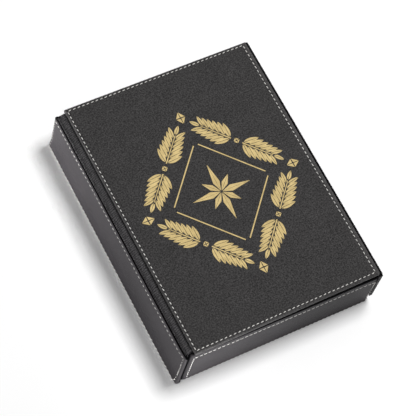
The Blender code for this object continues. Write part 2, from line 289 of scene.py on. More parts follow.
# The leaf at a spray's tip: length by the longest leaf's, and width by its own length
TIP_LEAF = 0.65
TIP_LEAF_WIDTH = 0.34

# Distance of the first leaves from a spray's middle and of all leaves from the stem's line
LEAF_START = 1.5 * MM
STEM_CLEARANCE = 1.0 * MM

# The stem: its distance from the spray's middle and from the tip leaf, and its width at foot and head
STEM_START = 0.5 * MM
STEM_END = 0.8 * MM
STEM_FOOT = 1.0 * MM
STEM_HEAD = 0.6 * MM

# The star: its number of points, the length of every second one and the depth of its notches
STAR_POINTS = 8
SHORT_POINT = 0.66
STAR_NOTCH = 0.33

# Least size that a facet keeps when a bare line is left round it
LEAST_FACET = 0.2

# Room between the sprays and the diamonds at the lozenge's tips and at the middles of its sides
TIP_ROOM = 7.5 * MM
MIDDLE_ROOM = 4.5 * MM

# Half sizes of the diamonds at the tips and at the middles of the sides
TIP_DIAMOND = (6.0 * MM, 4.4 * MM)
MIDDLE_DIAMOND = 3.0 * MM

# The thin square inside the sprays: its size by the lozenge's, the room at its corners and its line's width
SQUARE_SHARE = 0.66
SQUARE_ROOM = 3 * MM
SQUARE_LINE = 1.0 * MM


def lie(across, up, margins, **special):
    """Describes how a stitched cover faces and lies.

    The margins, in mm, are its seam's distance from the left, right, lower and upper edge. Swell, groove and
    wave are shares of the lid's. A fall says how far the face drops at its left or right edge and over what
    width. The flare says how far its foot stands out and over what height, more to the right by its twist.
    Its stitches lie sunk by a depth, those of its upright rows by one more, and are longer than the lid's
    by a factor.
    """
    usual = {
        "radius": "panel_radius",
        "cuts": 4,
        "rim_cuts": (),
        "swell": 0,
        "groove": 0.45,
        "wave": 0.5,
        "falls": ((0, MM), (0, MM)),
        "flare": (0, MM),
        "twist": 0,
        "squared": 0,
        "step": 0,
        "sunk": 0,
        "upright": 0,
        "long": 1,
    }
    place = {"across": Vector(across), "up": Vector(up), "margins": [margin * MM for margin in margins]}
    return {**usual, **place, **special}


COVERS = {
    "lid_cover": lie(
        (1, 0, 0), (0, 1, 0), (2.3, 3.8, 2.8, 2.1), radius="lid_radius", cuts=3, swell=1, groove=1, wave=1
    ),
    "spine_cover": lie(
        (0, -1, 0), (0, 0, 1), (1.8, 3.0, 0.7, 3.7),
        falls=((0.35 * MM, 3.2 * MM), (0.2 * MM, 2.0 * MM)),
        flare=(1.9 * MM, 12 * MM),
        twist=0.18,
        squared=0.6,
        step=0.6 * MM,
        sunk=0.25 * MM,
        upright=0.08 * MM,
        long=1.22,
        rim_cuts=(1.4 * MM, 1.7 * MM),
    ),
    "front_panel_cover": lie(
        (1, 0, 0), (0, 0, 1), (4.7, 0.3, -6.0, 3.6),
        falls=((0.8 * MM, 2.8 * MM), (0, MM)),
        flare=(0.5 * MM, 8 * MM),
        squared=0.6,
        sunk=-0.06 * MM,
        upright=0.22 * MM,
        long=1.22,
    ),
    "rear_panel_cover": lie(
        (-1, 0, 0), (0, 0, 1), (0.3, 4.7, -6.0, 3.6),
        falls=((0, MM), (0.8 * MM, 2.8 * MM)),
        flare=(0.5 * MM, 8 * MM),
        squared=0.6,
        sunk=-0.06 * MM,
        upright=0.22 * MM,
        long=1.22,
    ),
    "flap_cover": lie(
        (0, 1, 0), (0, 0, 1), (2.4, 2.4, 2.6, 2.6), radius="flap_radius", rim_cuts=(1.5 * MM, 1.6 * MM)
    ),
}


def clamped(value):
    """Keeps a share between 0 and 1."""
    return min(1.0, max(0.0, value))


def from_hex(code):
    """Turns an sRGB hex colour into linear values."""
    parts = [int(code[place:place + 2], 16) / 255 for place in (1, 3, 5)]
    return tuple(c / 12.92 if c <= 0.04045 else ((c + 0.055) / 1.055) ** 2.4 for c in parts)


def length(name, description, default):
    """Describes a length that a user may change."""
    return FloatProperty(name=name, description=description, default=default, min=0, unit="LENGTH")


def colour(name, description, code):
    """Describes a colour that a user may change."""
    return FloatVectorProperty(
        name=name, description=description, default=from_hex(code), min=0, max=1, size=3, subtype="COLOR"
    )


class ChestCovers(bpy.types.PropertyGroup):
    """Sizes of the leatherette covers."""

    sheet: length("Sheet", "Thickness of the leatherette", 0.6 * MM)
    turn_in: length("Turned edge", "Width of the sheet turned in behind a board", 8.0 * MM)
    lid_radius: length("Lid edge", "Rounding of the lid's edges", 1.0 * MM)
    panel_radius: length("Panel edge", "Rounding of the spine's and the walls' edges", 1.0 * MM)
    flap_radius: length("Flap edge", "Rounding of the flap's edges", 0.4 * MM)
    hem: length("Hem", "How far the foot of a wall bulges between two stitches", 0.6 * MM)
    crown: length("Crown", "How far a cover swells inside its seam", 0.35 * MM)
    crown_reach: length("Crown reach", "Distance from the seam over which it swells", 4.0 * MM)
    margin_swell: length("Margin swell", "How far a cover swells outside its seam", 0.18 * MM)
    wave: length("Wave", "Height of the sheet's slow waves", 0.12 * MM)
    wave_length: length("Wave length", "Width of the sheet's slow waves", 28 * MM)


class ChestSeams(bpy.types.PropertyGroup):
    """Sizes of the topstitching."""

    pitch: length("Pitch", "Distance from one needle hole to the next", 4.1 * MM)
    stitch: length("Stitch", "Length of thread seen between two holes", 2.6 * MM)
    thread_width: length("Thread width", "Width of a stitch", 0.72 * MM)
    thread_height: length("Thread height", "Height of a stitch", 0.75 * MM)
    lift: length("Lift", "How far a stitch's middle lies above the leatherette", 0.1 * MM)
    slant: FloatProperty(
        name="Slant",
        description="Turn of each stitch out of its seam",
        default=math.radians(9),
        unit="ROTATION",
    )
    groove_width: length("Groove width", "Half width of the groove that the seam pulls in", 0.9 * MM)
    groove_depth: length("Groove depth", "Depth of the groove that the seam pulls in", 0.32 * MM)
    scallop: length("Scallop", "How far the seam draws in the edge at each hole", 0.12 * MM)


class ChestFoil(bpy.types.PropertyGroup):
    """Sizes of the gold foil."""

    across: length("Across", "Half width of the lozenge of leaves", 66 * MM)
    along: length("Along", "Half height of the lozenge of leaves", 72 * MM)
    star: length("Star", "Radius of the star in the middle", 27 * MM)
    leaf: length("Leaf", "Length of the longest leaf", 13.5 * MM)
    pairs: IntProperty(name="Leaf pairs", description="Pairs of leaves on a spray", default=6, min=1)
    gap: length("Gap", "Bare line between two pieces of foil", 0.9 * MM)
    thickness: length("Thickness", "How far the foil stands on the leatherette", 0.08 * MM)


class ChestColours(bpy.types.PropertyGroup):
    """Colours of the chest's finishes."""

    lid: colour("Lid leatherette", "Cover of the lid", "#373636")
    wall: colour("Wall leatherette", "Covers of spine, walls and flap", "#2F2D2F")
    gutter: colour("Gutter leatherette", "Strip between spine and lid", "#403F40")
    # This black is the flap's edge paint; it also stands as painted shade in the fold's crease and in the
    # gaps and recesses round lid, spine, walls and gutter strip
    edge_paint: colour("Edge paint", "Painted edges of the flap and the fold", "#050506")
    thread: colour("Thread", "Topstitching", "#DAD8D4")
    foil: colour("Gold foil", "Stamped ornament", "#DEC68C")
    lining: colour("Lining", "Suede-like lining of the inside", "#2F2F33")
    greyboard: colour("Greyboard", "Boards inside the covers", "#8D8880")
    foam: colour("Foam", "Pad under the lid's cover", "#D4D4CE")
    nickel: colour("Nickel", "Plating of the magnets", "#CFCFD1")
    steel: colour("Steel", "Discs that the magnets hold on to", "#B4B4B6")
    floor: colour("Floor", "Floor and backdrop", "#F9F9F9")


class ChestStage(bpy.types.PropertyGroup):
    """Camera and lamps."""

    camera_place: FloatVectorProperty(
        name="Camera place",
        description="Where the camera stands",
        default=(-0.54459, -0.5303, 1.46798),
        subtype="TRANSLATION",
        unit="LENGTH",
    )
    camera_turn: FloatVectorProperty(
        name="Camera turn",
        description="Which way the camera looks",
        default=tuple(math.radians(a) for a in (26.2858, -9.1202, -27.648)),
        subtype="EULER",
        unit="ROTATION",
    )
    lens: FloatProperty(name="Lens", description="Focal length", default=174.4, unit="CAMERA")
    floor_size: length("Floor size", "Side of the square floor", 8.0)
    floor_light: FloatProperty(
        name="Floor light", description="White added for the eye only", default=0.02
    )
    sky: FloatProperty(name="Sky", description="Strength of the light from all round", default=0.34)
    key_power: FloatProperty(
        name="Key lamp", description="Power of the large lamp above", default=19.6, unit="POWER"
    )
    side_power: FloatProperty(
        name="Side lamp", description="Power of the lamp at the left", default=0.135, unit="POWER"
    )
    rear_power: FloatProperty(
        name="Rear lamp", description="Power of the lamp on the spine's rear end", default=0.145, unit="POWER"
    )
    front_power: FloatProperty(
        name="Front lamp",
        description="Power of the lamp on the front left corner",
        default=0.125,
        unit="POWER",
    )
    spread: FloatProperty(
        name="Spread", description="How wide the side lamp shines", default=math.radians(55), unit="ROTATION"
    )
    beam: FloatProperty(
        name="Beam",
        description="How wide the rear and front lamps shine",
        default=math.radians(12),
        unit="ROTATION",
    )


class ChestSettings(bpy.types.PropertyGroup):
    """Everything about the chest that a user may change."""

    covers: PointerProperty(type=ChestCovers, name="Covers", description="Leatherette covers")
    seams: PointerProperty(type=ChestSeams, name="Seams", description="Topstitching")
    foil: PointerProperty(type=ChestFoil, name="Foil", description="Gold foil")
    colours: PointerProperty(type=ChestColours, name="Colours", description="Finishes")
    stage: PointerProperty(type=ChestStage, name="Stage", description="Camera and lamps")
    soft_edge: length("Soft edge", "Rounding of lined boards and discs", 0.25 * MM)
    edge_steps: IntProperty(name="Edge steps", description="Segments of a rounded edge", default=3, min=1)


def settings():
    """Gives the chest's settings in the scene."""
    return bpy.context.scene.storage_chest


# Materials


def add(tree, kind, inputs=None, **options):
    """Adds a node with its options, and sets or links its inputs."""
    made = tree.nodes.new(kind)
    for name, value in options.items():
        setattr(made, name, value)
    for name, value in (inputs or {}).items():
        if isinstance(value, bpy.types.NodeSocket):
            tree.links.new(value, made.inputs[name])
        else:
            made.inputs[name].default_value = value
    return made


def new_material(name):
    """Makes an empty material and gives it with its tree, shader and Object coordinates."""
    material = bpy.data.materials.new(name)
    material.use_nodes = True
    tree = material.node_tree
    tree.nodes.clear()
    surface = add(tree, "ShaderNodeBsdfPrincipled")
    add(tree, "ShaderNodeOutputMaterial", {"Surface": surface.outputs["BSDF"]})
    place = add(tree, "ShaderNodeTexCoord").outputs["Object"]
    return material, tree, surface, place


def set_up(tree, surface, **inputs):
    """Sets or links the shader's own inputs."""
    for name, value in inputs.items():
        socket = surface.inputs[name.replace("_", " ")]
        if isinstance(value, bpy.types.NodeSocket):
            tree.links.new(value, socket)
        else:
            socket.default_value = value


def leatherette(name, rgb, grain, relief, roughness, speckle, rib_shade=0):
    """Polyurethane leatherette, embossed by a grained roller: a satin coat with fine pebbles that sparkle."""
    material, tree, surface, place = new_material(name)
    pebbles = add(
        tree,
        "ShaderNodeTexVoronoi",
        {"Vector": place, "Scale": 1 / grain, "Randomness": 0.9},
        feature="DISTANCE_TO_EDGE",
    )
    domes = add(
        tree,
        "ShaderNodeMapRange",
        {"Value": pebbles.outputs["Distance"], "From Max": 0.28},
        interpolation_type="SMOOTHSTEP",
    )
    pores = add(tree, "ShaderNodeTexNoise", {"Vector": place, "Scale": PORES / grain, "Detail": 2})
    patches = add(tree, "ShaderNodeTexNoise", {"Vector": place, "Scale": 1 / PATCH, "Detail": 3})
    flecks = add(tree, "ShaderNodeTexNoise", {"Vector": place, "Scale": 1 / FLECK, "Detail": 2})
    height = add(
        tree,
        "ShaderNodeMath",
        {0: domes.outputs["Result"], 1: DOMES, 2: pores.outputs["Fac"]},
        operation="MULTIPLY_ADD",
    )
    bump = add(tree, "ShaderNodeBump", {"Height": height.outputs[0], "Distance": relief, "Strength": 1.0})
    # The grain's relief also sets its tone: darker in the hollows between pebbles, as painted shade. Patches
    # and flecks vary the tone at random.
    shades = [
        (height.outputs[0], 0.35, 1.2, 0.2),
        (patches.outputs["Fac"], 0.3, 0.7, 0.07),
        (flecks.outputs["Fac"], 0.3, 0.7, speckle),
    ]
    # Painted shade: lighter and darker bands along the gathered ribs
    if rib_shade:
        turned = add(tree, "ShaderNodeMapping", {"Vector": place, "Rotation": (0, 0, -RIB_TURN)})
        wave = {
            "Vector": turned.outputs["Vector"],
            "Scale": WAVE_TURN / GATHER,
            "Distortion": 5.0,
            "Detail": 2,
            "Detail Scale": 1.5,
        }
        rib_shading = add(tree, "ShaderNodeTexWave", wave, bands_direction="Y")
        shades.append((rib_shading.outputs["Fac"], 0.0, 1.0, rib_shade))
    level = 1.0
    for value, low, high, change in shades:
        ends = {"From Min": low, "From Max": high, "To Min": 1 - change, "To Max": 1 + change}
        share = add(tree, "ShaderNodeMapRange", {"Value": value, **ends})
        varied = add(tree, "ShaderNodeMath", {0: level, 1: share.outputs["Result"]}, operation="MULTIPLY")
        level = varied.outputs[0]
    # Painted highlight: paler where a piece marks its rounded rims
    stretched = add(tree, "ShaderNodeAttribute", attribute_name="stretched")
    paler = add(
        tree, "ShaderNodeMath", {0: stretched.outputs["Fac"], 1: HIGHLIGHT_GAIN, 2: 1.0}, operation="MULTIPLY_ADD"
    )
    level = add(tree, "ShaderNodeMath", {0: level, 1: paler.outputs[0]}, operation="MULTIPLY").outputs[0]
    tone = add(tree, "ShaderNodeVectorMath", {0: Vector(rgb), "Scale": level}, operation="SCALE")
    # Black mixed in where a piece is marked: the flap's edge paint, and painted shade in gaps, recesses and
    # creases
    paint = add(tree, "ShaderNodeAttribute", attribute_name="edge_paint")
    paint_and_shade = add(
        tree,
        "ShaderNodeMix",
        {0: paint.outputs["Fac"], 6: tone.outputs[0], 7: (*settings().colours.edge_paint, 1)},
        data_type="RGBA",
    )
    gloss = add(
        tree,
        "ShaderNodeMapRange",
        {
            "Value": pores.outputs["Fac"],
            "To Min": roughness - GLOSS_SPREAD,
            "To Max": roughness + GLOSS_SPREAD,
        },
    )
    dulled = add(
        tree,
        "ShaderNodeMapRange",
        {"Value": paint.outputs["Fac"], "To Min": gloss.outputs["Result"], "To Max": 0.95},
    )
    set_up(
        tree,
        surface,
        Base_Color=paint_and_shade.outputs[2],
        Roughness=dulled.outputs["Result"],
        Normal=bump.outputs["Normal"],
        Specular_IOR_Level=0.1,
    )
    return material


def lid_leatherette():
    """The lid's coat: pebbles about 1.1 mm wide and flecks of 1.2 mm, drawn coarse enough to show."""
    return leatherette(
        "polyurethane leatherette, grained",
        settings().colours.lid,
        grain=1.1 * MM,
        relief=0.16 * MM,
        roughness=0.55,
        speckle=0.6,
    )


def wall_leatherette():
    """The walls' coat: the same sheet with its grain stretched nearly smooth over the boards."""
    return leatherette(
        "polyurethane leatherette, smooth",
        settings().colours.wall,
        grain=0.8 * MM,
        relief=0.05 * MM,
        roughness=0.5,
        speckle=0.1,
    )


def gutter_leatherette():
    """The strip's coat: the sheet gathered across its length, in ribs about 1.7 mm apart."""
    return leatherette(
        "polyurethane leatherette, gathered",
        settings().colours.gutter,
        grain=1.3 * MM,
        relief=0.22 * MM,
        roughness=0.6,
        speckle=0.4,
        # Share of the painted shade along the ribs
        rib_shade=0.42,
    )


def suede_lining():
    """Flocked suede lining: short brushed fibres with a dull sheen and stroke marks."""
    material, tree, surface, place = new_material("suede lining, flocked")
    fibres = add(tree, "ShaderNodeTexNoise", {"Vector": place, "Scale": 1 / (0.5 * MM), "Detail": 4})
    strokes = add(tree, "ShaderNodeTexNoise", {"Vector": place, "Scale": 1 / (14 * MM), "Detail": 2})
    both = add(
        tree,
        "ShaderNodeMath",
        {0: fibres.outputs["Fac"], 1: 0.6, 2: strokes.outputs["Fac"]},
        operation="MULTIPLY_ADD",
    )
    level = add(
        tree,
        "ShaderNodeMapRange",
        {"Value": both.outputs[0], "From Min": 0.5, "From Max": 1.1, "To Min": 0.65, "To Max": 1.4},
    )
    tone = add(
        tree,
        "ShaderNodeVectorMath",
        {0: Vector(settings().colours.lining), "Scale": level.outputs["Result"]},
        operation="SCALE",
    )
    bump = add(
        tree, "ShaderNodeBump", {"Height": fibres.outputs["Fac"], "Distance": 0.12 * MM, "Strength": 0.7}
    )
    set_up(
        tree,
        surface,
        Base_Color=tone.outputs[0],
        Roughness=0.95,
        Normal=bump.outputs["Normal"],
        Specular_IOR_Level=0.2,
        Sheen_Weight=0.35,
        Sheen_Roughness=0.5,
    )
    return material


def greyboard():
    """Greyboard, pressed from waste paper: matte, with short darker and lighter fibres."""
    material, tree, surface, place = new_material("greyboard, pressed")
    fibres = add(
        tree,
        "ShaderNodeTexNoise",
        {"Vector": place, "Scale": 1 / (1.2 * MM), "Detail": 5, "Roughness": 0.7},
    )
    flecks = add(tree, "ShaderNodeTexVoronoi", {"Vector": place, "Scale": 1 / (2.5 * MM)})
    dots = add(
        tree, "ShaderNodeMapRange", {"Value": flecks.outputs["Distance"], "From Max": 0.2, "To Min": 0.82}
    )
    level = add(
        tree,
        "ShaderNodeMapRange",
        {
            "Value": fibres.outputs["Fac"],
            "From Min": 0.3,
            "From Max": 0.7,
            "To Min": 0.85,
            "To Max": 1.12,
        },
    )
    mixed = add(
        tree,
        "ShaderNodeMath",
        {0: level.outputs["Result"], 1: dots.outputs["Result"]},
        operation="MULTIPLY",
    )
    tone = add(
        tree,
        "ShaderNodeVectorMath",
        {0: Vector(settings().colours.greyboard), "Scale": mixed.outputs[0]},
        operation="SCALE",
    )
    bump = add(
        tree, "ShaderNodeBump", {"Height": fibres.outputs["Fac"], "Distance": 0.08 * MM, "Strength": 0.5}
    )
    set_up(tree, surface, Base_Color=tone.outputs[0], Roughness=0.9, Normal=bump.outputs["Normal"])
    return material


def foam():
    """Polyurethane foam, sliced: open cells that look like fine pits."""
    material, tree, surface, place = new_material("polyurethane foam, sliced")
    cells = add(tree, "ShaderNodeTexVoronoi", {"Vector": place, "Scale": 1 / (0.9 * MM)})
    level = add(
        tree, "ShaderNodeMapRange", {"Value": cells.outputs["Distance"], "To Min": 0.8, "To Max": 1.05}
    )
    tone = add(
        tree,
        "ShaderNodeVectorMath",
        {0: Vector(settings().colours.foam), "Scale": level.outputs["Result"]},
        operation="SCALE",
    )
    bump = add(
        tree, "ShaderNodeBump", {"Height": cells.outputs["Distance"], "Distance": 0.2 * MM, "Strength": 0.6}
    )
    set_up(tree, surface, Base_Color=tone.outputs[0], Roughness=0.95, Normal=bump.outputs["Normal"])
    return material


def metal(name, rgb, roughness, scratch):
    """Gives a metal whose fine marks of making spread its gloss."""
    material, tree, surface, place = new_material(name)
    turned = add(tree, "ShaderNodeMapping", {"Vector": place, "Scale": (1, 1, 12)})
    marks = add(
        tree,
        "ShaderNodeTexNoise",
        {"Vector": turned.outputs["Vector"], "Scale": 1 / (1.5 * MM), "Detail": 4},
    )
    gloss = add(
        tree,
        "ShaderNodeMapRange",
        {
            "Value": marks.outputs["Fac"],
            "To Min": roughness - GLOSS_SPREAD,
            "To Max": roughness + GLOSS_SPREAD,
        },
    )
    level = add(tree, "ShaderNodeMapRange", {"Value": marks.outputs["Fac"], "To Min": 0.88, "To Max": 1.05})
    tone = add(
        tree, "ShaderNodeVectorMath", {0: Vector(rgb), "Scale": level.outputs["Result"]}, operation="SCALE"
    )
    bump = add(tree, "ShaderNodeBump", {"Height": marks.outputs["Fac"], "Distance": scratch, "Strength": 0.4})
    set_up(
        tree,
        surface,
        Base_Color=tone.outputs[0],
        Metallic=1.0,
        Roughness=gloss.outputs["Result"],
        Normal=bump.outputs["Normal"],
    )
    return material


def nickel():
    """Nickel plating on pressed magnet discs: bright, with a faint haze."""
    return metal("nickel, plated", settings().colours.nickel, 0.25, 0.01 * MM)


def steel():
    """Cold-rolled steel, stamped into discs: a satin grey with rolling marks."""
    return metal("steel, cold rolled", settings().colours.steel, 0.4, 0.02 * MM)


def sewing_thread():
    """Polyester sewing thread, twisted: soft off-white, with the darker turns of its twist drawn coarser."""
    material, tree, surface, place = new_material("polyester thread, twisted")
    turns = add(tree, "ShaderNodeTexNoise", {"Vector": place, "Scale": 1 / (0.6 * MM), "Detail": 2})
    level = add(
        tree,
        "ShaderNodeMapRange",
        {
            "Value": turns.outputs["Fac"],
            "From Min": 0.35,
            "From Max": 0.65,
            "To Min": 0.75,
            "To Max": 1.05,
        },
    )
    tone = add(
        tree,
        "ShaderNodeVectorMath",
        {0: Vector(settings().colours.thread), "Scale": level.outputs["Result"]},
        operation="SCALE",
    )
    bump = add(
        tree, "ShaderNodeBump", {"Height": turns.outputs["Fac"], "Distance": 0.1 * MM, "Strength": 0.5}
    )
    set_up(
        tree,
        surface,
        Base_Color=tone.outputs[0],
        Roughness=0.7,
        Normal=bump.outputs["Normal"],
        Sheen_Weight=0.2,
    )
    return material


def gold_foil():
    """Gold foil, hot stamped: a bright satin metal with the grain under it and a little rubbed."""
    material, tree, surface, place = new_material("gold foil, hot stamped")
    grain = add(
        tree,
        "ShaderNodeTexVoronoi",
        {"Vector": place, "Scale": 1 / (1.1 * MM), "Randomness": 0.9},
        feature="DISTANCE_TO_EDGE",
    )
    rubs = add(tree, "ShaderNodeTexNoise", {"Vector": place, "Scale": 1 / (5 * MM), "Detail": 4})
    rubbed = {"Value": rubs.outputs["Fac"], "From Min": 0.3, "From Max": 0.7}
    level = add(tree, "ShaderNodeMapRange", {**rubbed, "To Min": 0.8, "To Max": 1.05})
    tone = add(
        tree,
        "ShaderNodeVectorMath",
        {0: Vector(settings().colours.foil), "Scale": level.outputs["Result"]},
        operation="SCALE",
    )
    gloss = add(tree, "ShaderNodeMapRange", {**rubbed, "To Min": 0.5, "To Max": 0.34})
    bump = add(
        tree, "ShaderNodeBump", {"Height": grain.outputs["Distance"], "Distance": 0.06 * MM, "Strength": 0.5}
    )
    set_up(
        tree,
        surface,
        Base_Color=tone.outputs[0],
        Metallic=1.0,
        Roughness=gloss.outputs["Result"],
        Normal=bump.outputs["Normal"],
    )
    return material


FINISHES = {
    "lid_leatherette": lid_leatherette,
    "wall_leatherette": wall_leatherette,
    "gutter_leatherette": gutter_leatherette,
    "lining": suede_lining,
    "greyboard": greyboard,
    "foam": foam,
    "magnet": nickel,
    "steel": steel,
    "thread": sewing_thread,
    "gold_foil": gold_foil,
}
made_finishes = {}


def finish(slot):
    """Gives the material of one of the record's slots, made once."""
    if slot not in made_finishes:
        made_finishes[slot] = FINISHES[slot]()
    return made_finishes[slot]


# Meshes


def body_of(node):
    """Gives the name of the body that a CAD node rides on."""
    return frame["nodes"][node]["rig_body"]


def slot_of(node):
    """Gives the record's material slot of a CAD node."""
    return next(part["material_slot"] for part in frame["record"]["subparts"] if part["node"] == node)


def new_piece(name, bm, slot):
    """Makes an object of a bmesh that is already in its place."""
    mesh = bpy.data.meshes.new(name)
    bm.to_mesh(mesh)
    bm.free()
    if not mesh.polygons:
        raise RuntimeError(f"{name} has no faces")
    mesh.shade_smooth()
    mesh.set_sharp_from_angle(angle=EDGE_ANGLE)
    mesh.materials.append(finish(slot))
    piece = bpy.data.objects.new(name, mesh)
    bpy.context.scene.collection.objects.link(piece)
    return piece


def stand_in(piece, *nodes):
    """Lets a piece ride on its nodes' body and take their place."""
    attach(piece, body_of(nodes[0]))
    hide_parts(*nodes)
    return piece


def softened(node, radius):
    """Makes a copy of a CAD node with merged faces and softened edges, which takes the node's place."""
    bm = bmesh.new()
    bm.from_mesh(frame["nodes"][node].data)
    bmesh.ops.remove_doubles(bm, verts=bm.verts, dist=0.001 * MM)
    bmesh.ops.dissolve_limit(bm, angle_limit=math.radians(1), verts=bm.verts, edges=bm.edges)
    sharp = [e for e in bm.edges if len(e.link_faces) == 2 and e.calc_face_angle(0) > EDGE_ANGLE]
    bmesh.ops.bevel(
        bm,
        geom=sharp,
        offset=radius,
        segments=2,
        profile=0.5,
        affect="EDGES",
        clamp_overlap=True,
        material=-1,
    )
    return stand_in(new_piece(node + "_soft", bm, slot_of(node)), node)


class Panel:
    """One stitched cover: its local axes, half size and the rectangle of its seam."""

    def __init__(self, node):
        low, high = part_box(node)
        self.node = node
        self.lie = COVERS[node]
        self.radius = getattr(settings().covers, self.lie["radius"])
        across, up = self.lie["across"], self.lie["up"]
        self.out = across.cross(up)
        size = high - low
        self.half = Vector(abs(size.dot(axis)) / 2 for axis in (across, up, self.out))
        turn = Matrix((across, up, self.out)).transposed().to_4x4()
        self.matrix = Matrix.Translation((low + high) / 2) @ turn
        left, right, lower, upper = self.lie["margins"]
        self.low = Vector((left - self.half.x, lower - self.half.y))
        self.high = Vector((self.half.x - right, self.half.y - upper))
        pitch = settings().seams.pitch
        self.count = [max(1, round((self.high[i] - self.low[i]) / pitch)) for i in (0, 1)]
        self.pitch = [(self.high[i] - self.low[i]) / self.count[i] for i in (0, 1)]

    def warp(self, u, v):
        """Moves a point of the face where the real cover isn't straight."""
        if self.node == "lid_cover":
            right, front = u / self.half.x, -v / self.half.y
            left = max(0, self.low.x - u) / (self.low.x + self.half.x)
            left *= min(1, (self.half.y - v) / LEFT_END)
            rear = max(0, v - self.high.y) / (self.half.y - self.high.y)
            near = max(0, self.low.y - v) / (self.low.y + self.half.y)
            u += LID_DRIFT * front * max(0, right) + LID_LEFT * left
            return u, v + FRONT_DRIFT * right * max(0, front) + LID_REAR * rear + LID_FRONT * near
        if self.node == "flap_cover":
            return u - FLAP_LONGER * max(0, 1 - (u + self.half.x) / FLAP_REACH), v
        if self.node == "spine_cover":
            above = max(0, v - self.high.y) / (self.half.y - self.high.y)
            corner = clamped(1 - (self.high.x - u) / CORNER_REACH) ** 1.5
            corner *= (SEAM_CORNER + (EDGE_CORNER - SEAM_CORNER) * above) * clamped(v / self.high.y) ** 3
            foot = max(0, 1 - (self.half.y + v) / FOOT_REACH) ** 2 * max(0, 1 - (self.half.x - u) / FOOT_END)
            rise = SPINE_RISE * above * (u + self.half.x) / (2 * self.half.x)
            return u + FOOT_LONGER * foot, v + rise + corner
        if self.node not in ("front_panel_cover", "rear_panel_cover") or v <= 0:
            return u, v
        share = (u + self.half.x) / (2 * self.half.x)
        if self.node == "rear_panel_cover":
            share = 1 - share
        slope = 1 - (1 - share) ** 2
        droop = max(0, 1 - (1 - share) * 2 * self.half.x / DROOP_REACH) ** 2
        seam_shift = -SEAM_DIP * slope - SEAM_DROOP * droop
        edge_shift = EDGE_RISE - (EDGE_RISE + EDGE_DIP) * slope
        if v <= self.high.y:
            return u, v + seam_shift * v / self.high.y
        part = min(1, (v - self.high.y) / (self.half.y - self.high.y))
        return u, v + seam_shift * (1 - part) + edge_shift * part

    def hole(self, axis, place):
        """Gives 1 at a needle hole of the rows along an axis, and 0 midway between two."""
        return 0.5 + 0.5 * math.cos(2 * math.pi * (place - self.low[axis]) / self.pitch[axis])

    def relief(self, u, v):
        """Gives the face's height at a point, from the seam's groove, the swell, the edges and the waves."""
        covers, seams = settings().covers, settings().seams
        du = min(u - self.low.x, self.high.x - u)
        dv = min(v - self.low.y, self.high.y - v)
        inside = min(du, dv) if du > 0 and dv > 0 else -max(-min(du, 0), -min(dv, 0))
        hole = self.hole(1, v) if du < dv else self.hole(0, u)
        depth = self.lie["groove"] * seams.groove_depth * (GROOVE_BETWEEN + GROOVE_AT_HOLE * hole)
        height = -depth * math.exp(-((inside / seams.groove_width) ** 2))
        if inside > 0:
            swell = -covers.crown * math.exp(-inside / covers.crown_reach)
        else:
            margin = min(self.half.x - abs(u), self.half.y - abs(v))
            share = margin / max(margin - inside, 0.01 * MM)
            swell = covers.margin_swell * math.sin(math.pi * min(1, share)) - covers.crown
        height += self.lie["swell"] * swell
        for distance, (fall, reach) in zip((self.half.x + u, self.half.x - u), self.lie["falls"]):
            height -= fall * max(0, 1 - distance / reach) ** 2
        foot = self.half.y + v
        flare, reach = self.lie["flare"]
        flare *= 1 + self.lie["twist"] * u / self.half.x
        if self.node == "spine_cover":
            flare *= 1 - FLARE_LOSS * max(0, 1 - (self.half.x - u) / FOOT_END)
        height += flare * max(0, 1 - foot / reach) ** 2
        if flare:
            height += covers.hem * max(0, 1 - foot / HEM_REACH) * (1 - self.hole(0, u))
        place = self.matrix @ Vector((u, v, 0))
        return height + self.lie["wave"] * covers.wave * noise.noise(place / covers.wave_length)

    def surface(self, u, v):
        """Gives the face's point in the chest's frame."""
        return self.matrix @ Vector((*self.warp(u, v), self.half.z + self.relief(u, v)))

    def paint_and_shade(self, u, v, w):
        """Tells how far a point is painted black, from 0 to 1: on the flap's rim this is its edge paint,
        elsewhere it is painted shade in the gaps and recesses beside the lid, the spine and the walls.
        """
        top, depth = self.half.y - v, self.half.z - w
        share = (self.half.x + (-u if self.node == "rear_panel_cover" else u)) / (2 * self.half.x)
        # The gap under the lid opens away from the spine, and its painted shade with it
        gap = clamped((share - GAP_SHADE_START) / GAP_SHADE_FADE)
        # The lid's underside edges: painted shade of that gap
        if self.node == "lid_cover":
            return gap if self.half.y - abs(v) < LID_GAP_SHADE[0] and depth > LID_GAP_SHADE[1] else 0.0
        if self.node == "flap_cover":
            rim = min(self.half.x - abs(u), self.half.y - abs(v))
            return float(rim < FLAP_PAINT[0] and depth < FLAP_PAINT[1])
        # The spine: painted shade in its rear top corner, in its joint by the wall and behind its upper edge
        if self.node == "spine_cover":
            corner = self.half.x + u < SPINE_CORNER_SHADE[0] and top < SPINE_CORNER_SHADE[1]
            joint = self.half.x - u < SPINE_JOINT_SHADE[0] and depth > SPINE_JOINT_SHADE[1]
            upper = top < SPINE_TOP_SHADE[0] and depth > SPINE_TOP_SHADE[1]
            return float(corner or joint or upper)
        # A short wall: painted shade in the recess by the spine and in the gap under the lid
        joint = 2 * share * self.half.x
        if joint < JOINT_RIM:
            return 1.0 if joint < JOINT_SHADE else THIN_SHADE
        return gap if top < WALL_GAP_SHADE[0] and depth > WALL_GAP_SHADE[1] else 0.0

